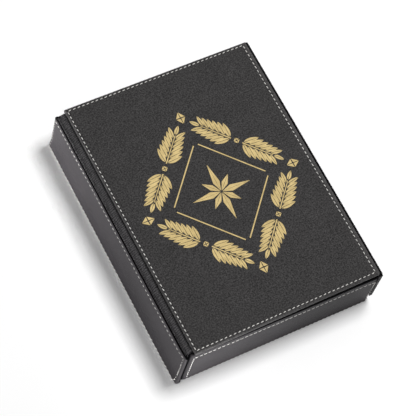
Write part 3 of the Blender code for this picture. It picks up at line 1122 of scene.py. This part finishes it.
    def stretched(self, u, v):
        """Tells how strong the painted highlight is: most at the lid's right edge, less at its ends, and on
        the spine's rim towards its front.
        """
        if self.node == "spine_cover":
            rim = max(0.0, 1 - abs(self.half.y - v - RIM_PLACE) / RIM_PLACE)
            return rim * (u + self.half.x) / (2 * self.half.x)
        if self.node != "lid_cover":
            return 0.0
        right = max(0, u - self.high.x)
        ends = max(0, self.low.y - v, v - self.high.y)
        return min(1.0, max(right, END_HIGHLIGHT * ends) / HIGHLIGHT_WIDTH)

    def lines(self, axis):
        """Gives the places where the face is cut: at each hole, between holes and beside the groove."""
        low, high = self.low[axis], self.high[axis]
        width = settings().seams.groove_width
        cuts = self.lie["cuts"]
        numbers = range(cuts * self.count[axis] + 1)
        places = [low + number * self.pitch[axis] / cuts for number in numbers]
        for line in (low, high):
            places += [line + width * step for step in GROOVE_CUTS]
        limit = self.half[axis] - self.radius - CUT_CLEARANCE
        clear = sorted(place for place in places if abs(place) < limit)
        return clear[:1] + [place for before, place in zip(clear, clear[1:]) if place - before > CUT_APART]


def cover_mesh(panel):
    """Makes a cover: a box turned in at the back, rounded, cut along its seams and shaped by their relief."""
    covers, seams = settings().covers, settings().seams
    bm = bmesh.new()
    # Point values for the shader: black for edge paint and painted shade, and paler for painted highlight
    paint = bm.verts.layers.float.new("edge_paint")
    stretched = bm.verts.layers.float.new("stretched")
    bmesh.ops.create_cube(bm, size=2)
    bmesh.ops.scale(bm, vec=panel.half, verts=bm.verts)
    bm.normal_update()
    back = min(bm.faces, key=lambda f: f.normal.z)
    bmesh.ops.inset_individual(bm, faces=[back], thickness=covers.turn_in, use_even_offset=True)
    bmesh.ops.delete(bm, geom=[back], context="FACES")
    bm.normal_update()
    outer = [e for e in bm.edges if len(e.link_faces) == 2 and e.calc_face_angle(0) > EDGE_ANGLE]
    bmesh.ops.bevel(
        bm,
        geom=outer,
        offset=panel.radius,
        segments=settings().edge_steps,
        profile=0.5,
        affect="EDGES",
        material=-1,
    )
    places = [(Vector((1, 0, 0)), place) for place in panel.lines(0)]
    places += [(Vector((0, 1, 0)), place) for place in panel.lines(1)]
    places += [(Vector((0, 0, 1)), panel.half.z - depth) for depth in panel.lie["rim_cuts"]]
    for normal, place in places:
        everything = bm.verts[:] + bm.edges[:] + bm.faces[:]
        bmesh.ops.bisect_plane(bm, geom=everything, plane_co=normal * place, plane_no=normal)
    for vertex in bm.verts:
        u, v, w = vertex.co
        vertex[paint] = panel.paint_and_shade(u, v, w)
        vertex[stretched] = panel.stretched(u, v)
        share = (w + panel.half.z) / (2 * panel.half.z)
        height = panel.relief(u, v) * max(0, share) ** 2
        if v < panel.radius - panel.half.y and w > 0:
            height += (panel.half.z - w) * panel.lie["squared"]
        draw_u = draw_v = 0
        side, end = panel.half.x - abs(u), panel.half.y - abs(v)
        if side < DRAWN_RIM:
            draw_u = -math.copysign(seams.scallop * panel.hole(1, v) * (1 - side / DRAWN_RIM), u)
        if end < DRAWN_RIM:
            draw_v = -math.copysign(seams.scallop * panel.hole(0, u) * (1 - end / DRAWN_RIM), v)
        if v > panel.half.y - STEP_RIM and w < panel.half.z - STEP_DEPTH * panel.radius:
            draw_v -= panel.lie["step"]
        u, v = panel.warp(u, v)
        vertex.co = Vector((u + draw_u, v + draw_v, w + height))
    bmesh.ops.transform(bm, matrix=panel.matrix, verts=bm.verts)
    bmesh.ops.recalc_face_normals(bm, faces=bm.faces)
    return bm


def build_cover(node):
    """Makes a cover's object, with the sheet's thickness inwards."""
    piece = new_piece(node + "_sewn", cover_mesh(Panel(node)), slot_of(node))
    sheet = piece.modifiers.new("Sheet", "SOLIDIFY")
    sheet.thickness = settings().covers.sheet
    sheet.offset = -1
    return stand_in(piece, node)


def add_stitch(bm, place, along, out, seams, long):
    """Adds one stitch: a ball drawn out along the seam, whose ends dip into the leatherette."""
    made = bmesh.ops.create_uvsphere(bm, u_segments=STITCH_STEPS, v_segments=STITCH_STEPS, radius=1)
    ball = made["verts"]
    for vertex in ball:
        x = vertex.co.z
        full = max(1e-6, 1 - x * x) ** 0.5
        swell = full ** STITCH_BLUNTNESS / full
        vertex.co = Vector((x, vertex.co.x * swell, vertex.co.y * swell - STITCH_DIP * x ** 4))
    side = out.cross(along)
    turn = Matrix.Rotation(seams.slant, 3, out)
    axes = Matrix((turn @ along, turn @ side, out)).transposed().to_4x4()
    size = Matrix.Diagonal((seams.stitch * long / 2, seams.thread_width / 2, seams.thread_height / 2, 1))
    bmesh.ops.transform(bm, matrix=Matrix.Translation(place + out * seams.lift) @ axes @ size, verts=ball)


def seam_mesh(panel):
    """Sews a cover's rectangle of stitches, each laid on the face between two needle holes."""
    seams = settings().seams
    bm = bmesh.new()
    for axis in (0, 1):
        other = 1 - axis
        for line in (panel.low[other], panel.high[other]):
            if abs(line) > panel.half[other]:
                continue
            for number in range(panel.count[axis]):
                start = panel.low[axis] + number * panel.pitch[axis]
                if start + panel.pitch[axis] / 2 < seams.stitch / 2 - panel.half[axis]:
                    continue
                ends = []
                for step in (0.1, 0.5, 0.9):
                    point = [0, 0]
                    point[axis] = start + step * panel.pitch[axis]
                    point[other] = line
                    ends.append(panel.surface(*point))
                along = (ends[2] - ends[0]).normalized()
                out = (panel.out - along * panel.out.dot(along)).normalized()
                sunk = panel.lie["sunk"] + axis * panel.lie["upright"]
                add_stitch(bm, ends[1] - out * sunk, along, out, seams, panel.lie["long"])
    bmesh.ops.recalc_face_normals(bm, faces=bm.faces)
    return bm


def strip_mesh(path, ends, steps, rib, rib_length, sway):
    """Makes a sheet along Y over a path of X and Z places, gathered into cross ribs and moved by its sway."""
    wander_across, wander_ribs, wander_plane = RIB_WANDER
    swell_across, swell_ribs, swell_plane = RIB_SWELL
    bm = bmesh.new()
    bmesh.ops.create_grid(bm, x_segments=len(path) - 1, y_segments=steps, size=1)
    normals = []
    for number in range(len(path)):
        before, after = path[max(0, number - 1)], path[min(len(path) - 1, number + 1)]
        run = (after - before).normalized()
        normals.append(Vector((-run.y, run.x)))
    for vertex in bm.verts:
        number = round((vertex.co.x + 1) / 2 * (len(path) - 1))
        share = (vertex.co.y + 1) / 2
        y = ends[0] + (ends[1] - ends[0]) * share
        drift = noise.noise(Vector((number * wander_across, y / (wander_ribs * rib_length), wander_plane)))
        size = 1 + noise.noise(Vector((number * swell_across, y / (swell_ribs * rib_length), swell_plane)))
        turned = (y - math.tan(RIB_TURN) * path[number].x) / rib_length
        ripple = rib * size * math.sin(2 * math.pi * (turned + RIB_STRAY * drift))
        place = path[number] + normals[number] * ripple
        x, y = sway(path[number], y, share)
        vertex.co = Vector((place.x + x, y, place.y))
    return bm


def smooth_path(corners, steps):
    """Gives a smooth line through X and Z places that lie about evenly apart."""
    path = []
    for number in range(len(corners) - 1):
        before, start = corners[max(0, number - 1)], corners[number]
        end, after = corners[number + 1], corners[min(len(corners) - 1, number + 2)]
        for step in range(steps):
            t = step / steps
            bend = 2 * before - 5 * start + 4 * end - after
            twist = 3 * start - before - 3 * end + after
            path.append((2 * start + (end - before) * t + bend * t ** 2 + twist * t ** 3) / 2)
    path.append(corners[-1])
    return path


def add_plate(bm, outline, panel, foil):
    """Adds a thin plate of foil over the given outline on the lid, with its rim let into the sheet."""
    ring = bmesh.ops.create_circle(bm, cap_ends=True, segments=len(outline), radius=1)["verts"]
    for vertex, (u, v) in zip(ring, outline):
        vertex.co = Vector((u, v, 0))
    face = ring[0].link_faces[0]
    if len(outline) > 4:
        bmesh.ops.triangulate(bm, faces=[face])
    faces = list({f for v in ring for f in v.link_faces})
    raised = bmesh.ops.extrude_face_region(bm, geom=faces)["geom"]
    tops = [g for g in raised if isinstance(g, bmesh.types.BMVert)]
    for vertex in tops:
        vertex.co.z = 1
    for vertex in ring + tops:
        top = vertex.co.z > 0.5
        u, v = vertex.co.xy
        height = foil.thickness if top else -foil.thickness
        vertex.co = Vector((*panel.warp(u, v), panel.half.z + panel.relief(u, v) + height))


def leaf_halves(root, direction, long, wide, gap):
    """Gives the outlines of a leaf's two halves beside its midrib."""
    side = Vector((-direction.y, direction.x))
    halves = []
    for sign in (1, -1):
        outline = [root + side * sign * gap / 2]
        for number in range(1, LEAF_STEPS):
            share = number / LEAF_STEPS
            bulge = math.sin(math.pi * share ** LEAF_FORWARD) ** LEAF_FULLNESS
            outline.append(root + direction * long * share + side * sign * (gap / 2 + wide / 2 * bulge))
        outline.append(root + direction * long + side * sign * gap / 4)
        halves.append(outline if sign < 0 else outline[::-1])
    return halves


def spray(tip, middle, foil):
    """Gives the outlines of a laurel spray that runs from the middle of a side to a tip of the lozenge."""
    last = foil.leaf * TIP_LEAF
    run = (tip - middle).length - last
    direction = (tip - middle).normalized()
    side = Vector((-direction.y, direction.x))
    outlines = []
    for number in range(foil.pairs):
        share = number / foil.pairs
        long = foil.leaf * (1 - LEAF_TAPER * share)
        lean = math.radians(LEAF_LEAN - LEAN_LOSS * share)
        for sign in (1, -1):
            turned = direction * math.cos(lean) + side * sign * math.sin(lean)
            root = middle + direction * (run * share + LEAF_START) + side * sign * STEM_CLEARANCE
            outlines += leaf_halves(root, turned, long, long * LEAF_WIDTH, foil.gap / 2)
    outlines += leaf_halves(tip - direction * last, direction, last, last * TIP_LEAF_WIDTH, foil.gap / 2)
    head = tip - direction * (last + STEM_END)
    outlines.append(bar(middle + direction * STEM_START, head, STEM_FOOT, STEM_HEAD))
    return outlines


def bar(start, end, foot, head):
    """Gives the outline of a straight bar with its width at its start and at its end."""
    direction = (end - start).normalized()
    side = Vector((-direction.y, direction.x)) / 2
    return [start - side * foot, end - side * head, end + side * head, start + side * foot]


def shrunk(corners, gap):
    """Moves a shape's corners towards its middle, to leave a bare line round it."""
    middle = sum(corners, Vector((0, 0))) / len(corners)
    inner = []
    for corner in corners:
        reach = corner - middle
        inner.append(middle + reach * max(LEAST_FACET, 1 - gap / reach.length))
    return inner


def star(centre, radius, gap):
    """Gives the outlines of an eight-pointed star cut into facets."""
    outlines = []
    for number in range(STAR_POINTS):
        angle = math.tau * number / STAR_POINTS
        reach = radius if number % 2 == 0 else radius * SHORT_POINT
        point = Vector((math.cos(angle), math.sin(angle))) * reach
        for sign in (1, -1):
            turn = angle + sign * math.pi / STAR_POINTS
            notch = Vector((math.cos(turn), math.sin(turn))) * radius * STAR_NOTCH
            facet = [Vector((0, 0)), point, notch] if sign > 0 else [Vector((0, 0)), notch, point]
            outlines.append([centre + corner for corner in shrunk(facet, gap)])
    return outlines


def diamond(centre, wide, high, gap):
    """Gives the outlines of a diamond cut into four facets."""
    corners = [Vector((wide, 0)), Vector((0, high)), Vector((-wide, 0)), Vector((0, -high))]
    facets = []
    for number in range(4):
        facet = shrunk([Vector((0, 0)), corners[number], corners[(number + 1) % 4]], gap)
        facets.append([centre + corner for corner in facet])
    return facets


def paint_black(piece, paint_and_shade):
    """Paints a piece's points black, as far as the given function says from 0 to 1."""
    paint = piece.data.attributes.new("edge_paint", "FLOAT", "POINT")
    for vertex, value in zip(piece.data.vertices, paint.data):
        value.value = paint_and_shade(vertex.co)


def keep(nodes):
    """Gives each CAD node that stays in sight or inside its own finish."""
    for node in nodes:
        mesh = frame["nodes"][node].data
        mesh.materials.clear()
        mesh.materials.append(finish(slot_of(node)))


# Operators


class CHEST_OT_lid_cover(bpy.types.Operator):
    """Makes the lid's padded leatherette cover"""

    bl_idname = "chest.lid_cover"
    bl_label = "Lid cover"

    def execute(self, context):
        build_cover("lid_cover")
        return {"FINISHED"}


class CHEST_OT_spine_cover(bpy.types.Operator):
    """Makes the spine's leatherette cover, left bare of lettering"""

    bl_idname = "chest.spine_cover"
    bl_label = "Spine cover"

    def execute(self, context):
        build_cover("spine_cover")
        return {"FINISHED"}


class CHEST_OT_wall_facings(bpy.types.Operator):
    """Makes the leatherette facings of the two short walls"""

    bl_idname = "chest.wall_facings"
    bl_label = "Wall facings"

    def execute(self, context):
        for node in ("front_panel_cover", "rear_panel_cover"):
            build_cover(node)
        return {"FINISHED"}


class CHEST_OT_flap_cover(bpy.types.Operator):
    """Makes the closing flap's cover, with painted edges"""

    bl_idname = "chest.flap_cover"
    bl_label = "Flap cover"

    def execute(self, context):
        build_cover("flap_cover")
        return {"FINISHED"}


class CHEST_OT_tray_wrap(bpy.types.Operator):
    """Makes the leatherette round the tray's walls and under its floor"""

    bl_idname = "chest.tray_wrap"
    bl_label = "Tray wrap"

    def execute(self, context):
        wrap = softened("tray_wrap", 0.15 * MM)
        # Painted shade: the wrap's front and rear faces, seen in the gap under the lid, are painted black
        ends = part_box("tray_wrap")[1].y - 0.1 * MM
        paint_black(wrap, lambda place: float(abs(place.y) > ends))
        softened("base_cover", 0.15 * MM)
        return {"FINISHED"}


class CHEST_OT_gutter_strip(bpy.types.Operator):
    """Makes the hinge's gutter strip, which goes down behind the spine and in under the lid"""

    bl_idname = "chest.gutter_strip"
    bl_label = "Gutter strip"

    def execute(self, context):
        leg_low, leg_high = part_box("hinge_strip_spine_leg")
        top_low, top_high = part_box("hinge_strip_lid_leg")
        leg = (leg_low.x + leg_high.x) / 2
        level = (top_low.z + top_high.z) / 2
        bulge = smooth_path([Vector((leg + x * MM, level + z * MM)) for x, z in GUTTER_BULGE], 3)
        path = [Vector((leg, leg_low.z)), Vector((leg, leg_low.z + LEG_CUT)), *bulge]
        path += [Vector((leg + step * MM, level)) for step in FLAT_CUTS]
        path.append(Vector((top_high.x, level)))

        def sway(place, y, share):
            """Moves the strip's front end out and its bulge to the left."""
            left = clamped((leg + TONGUE_FROM - place.x) / TONGUE_WIDTH)
            bulged = clamped((leg - place.x) / BULGE_WIDTH)
            return -BULGE_DRIFT * bulged * y / leg_high.y, y - TONGUE * left * (1 - share) ** TONGUE_FALL

        bm = strip_mesh(path[::-1], (leg_low.y, leg_high.y), GUTTER_STEPS, GUTTER_RIB, GATHER, sway)
        bmesh.ops.recalc_face_normals(bm, faces=bm.faces)
        piece = new_piece("gutter_strip", bm, "gutter_leatherette")
        rear = leg_high.y - DARK_REAR

        def painted_shade(place):
            """Tells how far the strip is painted dark as shade, from 0 to 1: where it goes down behind the
            spine, at its rear end by the spine and on its bulge's left side, more towards the front.
            """
            if place.z < level - DARK_BELOW or (place.y > rear and place.x < leg):
                return 1.0
            low = (level - DARK_FROM - place.z) / DARK_OVER
            across = clamped((leg + SHADE_START - place.x) / SHADE_WIDTH)
            front = max(0.0, -place.y / leg_high.y)
            shade = BULGE_SHADE * across + FRONT_SHADE * min(1.0, 2 * across) * front
            return min(1.0, max(0.0, low, shade))

        paint_black(piece, painted_shade)
        sheet = piece.modifiers.new("Sheet", "SOLIDIFY")
        sheet.thickness = STRIP_THICKNESS
        sheet.offset = 0
        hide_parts("hinge_strip_spine_leg", "hinge_strip_lid_leg")
        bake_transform(piece)
        return {"FINISHED"}


class CHEST_OT_flap_crease(bpy.types.Operator):
    """Makes the fold that the closing flap hangs from"""

    bl_idname = "chest.flap_crease"
    bl_label = "Flap crease"

    def execute(self, context):
        low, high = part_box("flap_crease")
        middle = (low.x + high.x) / 2
        path = smooth_path([Vector((middle + x * MM, high.z + z * MM)) for x, z in FOLD_ROLL], 3)
        half = (high.y - low.y) / 2

        def sway(place, y, share):
            """Moves the fold out at its front and in at its rear."""
            rolled = clamped((place.x - middle + ROLL_FROM) / ROLL_WIDTH)
            end = y / half
            turn = (FOLD_TURN + ROLL_TURN * rolled) * end
            return FOLD_SHIFT - ROLL_SHIFT * rolled - turn - FOLD_BOW * end ** 2, y

        bm = strip_mesh(path, (low.y, high.y), FOLD_STEPS, FOLD_RIPPLE, FOLD_RIPPLE_LENGTH, sway)
        bmesh.ops.recalc_face_normals(bm, faces=bm.faces)
        piece = new_piece("flap_fold", bm, "gutter_leatherette")
        # The whole fold is painted black: its edge paint, and painted shade in the crease between lid and
        # flap
        paint_black(piece, lambda place: 1.0)
        sheet = piece.modifiers.new("Sheet", "SOLIDIFY")
        sheet.thickness = STRIP_THICKNESS
        sheet.offset = 0
        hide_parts("flap_crease")
        start, end = (middle, 0, high.z + FOLD_START), (middle, 0, low.z + FOLD_END)
        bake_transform(piece)
        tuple(start)
        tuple(end)
        return {"FINISHED"}


class CHEST_OT_stitching(bpy.types.Operator):
    """Sews the rows of stitches on lid, spine, walls and flap"""

    bl_idname = "chest.stitching"
    bl_label = "Stitching"

    def execute(self, context):
        for node in COVERS:
            name = node.replace("_cover", "_stitching")
            piece = new_piece(name, seam_mesh(Panel(node)), "thread")
            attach(piece, body_of(node))
        return {"FINISHED"}


class CHEST_OT_gold_foil(bpy.types.Operator):
    """Stamps the lid with a lozenge of laurel leaves round a faceted star"""

    bl_idname = "chest.gold_foil"
    bl_label = "Gold foil"

    def execute(self, context):
        foil = settings().foil
        panel = Panel("lid_cover")
        across, along = Vector((foil.across, 0)), Vector((0, foil.along))
        tips = [across, along, -across, -along]
        outlines = star(Vector((0, 0)), foil.star, foil.gap)
        for number, tip in enumerate(tips):
            following = tips[(number + 1) % 4]
            middle = (tip + following) / 2
            for end in (tip, following):
                direction = (end - middle).normalized()
                outlines += spray(end - direction * TIP_ROOM, middle + direction * MIDDLE_ROOM, foil)
            long, short = TIP_DIAMOND
            outlines += diamond(tip, *((long, short) if tip.x else (short, long)), foil.gap * 0.7)
            outlines += diamond(middle, MIDDLE_DIAMOND, MIDDLE_DIAMOND, foil.gap / 2)
            run = (following - tip).normalized() * SQUARE_ROOM
            first, second = tip * SQUARE_SHARE + run, following * SQUARE_SHARE - run
            outlines.append(bar(first, second, SQUARE_LINE, SQUARE_LINE))
        bm = bmesh.new()
        for outline in outlines:
            add_plate(bm, outline, panel, foil)
        bmesh.ops.transform(bm, matrix=panel.matrix, verts=bm.verts)
        bmesh.ops.recalc_face_normals(bm, faces=bm.faces)
        piece = new_piece("lid_gold_foil", bm, "gold_foil")
        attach(piece, "lid")
        return {"FINISHED"}


class CHEST_OT_linings(bpy.types.Operator):
    """Makes the suede-lined cards of the tray, lid and flap"""

    bl_idname = "chest.linings"
    bl_label = "Linings"

    def execute(self, context):
        sides = ("floor", "front", "rear", "left", "right", "lid", "flap")
        for side in sides:
            softened(side + "_lining", 0.2 * MM)
        return {"FINISHED"}


class CHEST_OT_dividers(bpy.types.Operator):
    """Makes the lined dividers between the compartments"""

    bl_idname = "chest.dividers"
    bl_label = "Dividers"

    def execute(self, context):
        for node in sorted(frame["nodes"]):
            if "_divider_" in node:
                softened(node, 2 * settings().soft_edge)
        return {"FINISHED"}


class CHEST_OT_boards(bpy.types.Operator):
    """Gives the boards and cards inside the covers their greyboard"""

    bl_idname = "chest.boards"
    bl_label = "Boards"

    def execute(self, context):
        cards = ("front_panel_card", "rear_panel_card")
        keep(node for node in frame["nodes"] if slot_of(node) == "greyboard" and node not in cards)
        for node in cards:
            card = softened(node, 0.1 * MM)
            for vertex in card.data.vertices:
                if vertex.co.z > CARD_TOP:
                    vertex.co.z -= EDGE_DIP
        return {"FINISHED"}


class CHEST_OT_lid_pad(bpy.types.Operator):
    """Makes the thin foam pad under the lid's cover"""

    bl_idname = "chest.lid_pad"
    bl_label = "Lid pad"

    def execute(self, context):
        low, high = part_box("lid_pad")
        middle, half = (low + high) / 2, (high - low) / 2
        bm = bmesh.new()
        bmesh.ops.create_cube(bm, size=2)
        bmesh.ops.subdivide_edges(bm, edges=bm.edges, cuts=PAD_CUTS, use_grid_fill=True)
        for vertex in bm.verts:
            x, y, z = vertex.co
            crown = (1 - x ** 4) * (1 - y ** 4)
            pull = 1 - PAD_PULL * (x * x * y * y)
            thick = PAD_RIM + (1 - PAD_RIM) * crown
            vertex.co = Vector((x * half.x * pull, y * half.y * pull, z * half.z * thick))
        bmesh.ops.transform(bm, matrix=Matrix.Translation(middle), verts=bm.verts)
        piece = new_piece("lid_foam_pad", bm, "foam")
        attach(piece, "lid")
        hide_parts("lid_pad")
        return {"FINISHED"}


class CHEST_OT_magnets(bpy.types.Operator):
    """Makes the flap's magnets and the steel discs that they hold on to"""

    bl_idname = "chest.magnets"
    bl_label = "Magnets"

    def execute(self, context):
        for node in sorted(frame["nodes"]):
            if node.startswith(("flap_magnet_", "steel_disc_")):
                softened(node, settings().soft_edge / 2)
        return {"FINISHED"}


class CHEST_OT_stage(bpy.types.Operator):
    """Sets up the floor, the lamps and the camera"""

    bl_idname = "chest.stage"
    bl_label = "Stage"

    def execute(self, context):
        stage = settings().stage
        scene = context.scene
        bm = bmesh.new()
        bmesh.ops.create_grid(bm, x_segments=1, y_segments=1, size=stage.floor_size / 2)
        mesh = bpy.data.meshes.new("floor")
        bm.to_mesh(mesh)
        bm.free()
        mesh.materials.append(floor_material(stage))
        floor = bpy.data.objects.new("floor", mesh)
        scene.collection.objects.link(floor)
        light_world(scene, stage)
        key_place, side_place = (0.42, 0.06, 1.5), (-0.75, 0, 0.04)
        rear_place, front_place = (-1.05, 0.55, 0.03), (-0.46, -1.07, 0.04)
        for name, power, size, spread, place, target in (
            ("key", stage.key_power, 0.5, math.pi, key_place, (0, 0, 0)),
            ("side", stage.side_power, 0.07, stage.spread, side_place, (-0.09, 0, 0.02)),
            ("rear", stage.rear_power, 0.05, stage.beam, rear_place, (-0.09, 0.105, 0.01)),
            ("front", stage.front_power, 0.05, stage.beam, front_place, (-0.088, -0.115, 0.03)),
        ):
            lamp = bpy.data.lights.new(name, "AREA")
            lamp.energy = power
            lamp.size = size
            lamp.spread = spread
            holder = bpy.data.objects.new(name + "_lamp", lamp)
            holder.location = place
            holder.visible_glossy = False
            aim = Vector(target) - Vector(place)
            holder.rotation_euler = aim.to_track_quat("-Z", "Y").to_euler()
            scene.collection.objects.link(holder)
        camera = bpy.data.cameras.new("camera")
        camera.lens = stage.lens
        camera.clip_start = 0.05
        camera.clip_end = 50
        holder = bpy.data.objects.new("camera", camera)
        holder.location = stage.camera_place
        holder.rotation_euler = Euler(stage.camera_turn)
        scene.collection.objects.link(holder)
        scene.camera = holder
        scene.view_settings.view_transform = "Standard"
        return {"FINISHED"}


def seen_directly(tree):
    """Gives 1 for rays from the camera, in a mirror or through glass, and 0 for light on the object."""
    path = add(tree, "ShaderNodeLightPath")
    either = add(
        tree,
        "ShaderNodeMath",
        {0: path.outputs["Is Camera Ray"], 1: path.outputs["Is Glossy Ray"]},
        operation="MAXIMUM",
    )
    any_of = add(
        tree,
        "ShaderNodeMath",
        {0: either.outputs[0], 1: path.outputs["Is Transmission Ray"]},
        operation="MAXIMUM",
    )
    return any_of.outputs[0]


def floor_material(stage):
    """White painted floor: matte, and lifted to pure white for the eye where nothing shades it."""
    material = bpy.data.materials.new("white floor, matte paint")
    material.use_nodes = True
    tree = material.node_tree
    tree.nodes.clear()
    paint = add(tree, "ShaderNodeBsdfDiffuse", {"Color": (*settings().colours.floor, 1)})
    lift = add(tree, "ShaderNodeMath", {0: seen_directly(tree), 1: stage.floor_light}, operation="MULTIPLY")
    glow = add(tree, "ShaderNodeEmission", {"Strength": lift.outputs[0]})
    both = add(tree, "ShaderNodeAddShader", {0: paint.outputs[0], 1: glow.outputs[0]})
    add(tree, "ShaderNodeOutputMaterial", {"Surface": both.outputs[0]})
    return material


def light_world(scene, stage):
    """Lights the chest evenly from all round, before a white backdrop."""
    world = bpy.data.worlds.new("studio")
    world.use_nodes = True
    tree = world.node_tree
    tree.nodes.clear()
    strength = add(
        tree, "ShaderNodeMapRange", {"Value": seen_directly(tree), "To Min": stage.sky, "To Max": 1.0}
    )
    light = add(tree, "ShaderNodeBackground", {"Color": (1, 1, 1, 1), "Strength": strength.outputs["Result"]})
    add(tree, "ShaderNodeOutputWorld", {"Surface": light.outputs[0]})
    scene.world = world


PIECES = (
    CHEST_OT_lid_cover,
    CHEST_OT_spine_cover,
    CHEST_OT_wall_facings,
    CHEST_OT_flap_cover,
    CHEST_OT_tray_wrap,
    CHEST_OT_gutter_strip,
    CHEST_OT_flap_crease,
    CHEST_OT_stitching,
    CHEST_OT_gold_foil,
    CHEST_OT_linings,
    CHEST_OT_dividers,
    CHEST_OT_boards,
    CHEST_OT_lid_pad,
    CHEST_OT_magnets,
    CHEST_OT_stage,
)


class CHEST_PT_pieces(bpy.types.Panel):
    """Lists the chest's pieces"""

    bl_idname = "CHEST_PT_pieces"
    bl_label = "Chest pieces"
    bl_space_type = "VIEW_3D"
    bl_region_type = "UI"
    bl_category = "Chest"

    def draw(self, context):
        for piece in PIECES:
            self.layout.operator(piece.bl_idname)


CLASSES = (
    ChestCovers,
    ChestSeams,
    ChestFoil,
    ChestColours,
    ChestStage,
    ChestSettings,
    *PIECES,
    CHEST_PT_pieces,
)


def register():
    """Registers the classes and the scene's settings."""
    for kind in CLASSES:
        bpy.utils.register_class(kind)
    bpy.types.Scene.storage_chest = PointerProperty(type=ChestSettings)


def unregister():
    """Removes the settings and the classes again."""
    del bpy.types.Scene.storage_chest
    for kind in reversed(CLASSES):
        bpy.utils.unregister_class(kind)


def main():
    """Makes every piece in order."""
    register()
    for piece in PIECES:
        group, name = piece.bl_idname.split(".")
        getattr(getattr(bpy.ops, group), name)()


if __name__ == "__main__":
    main()
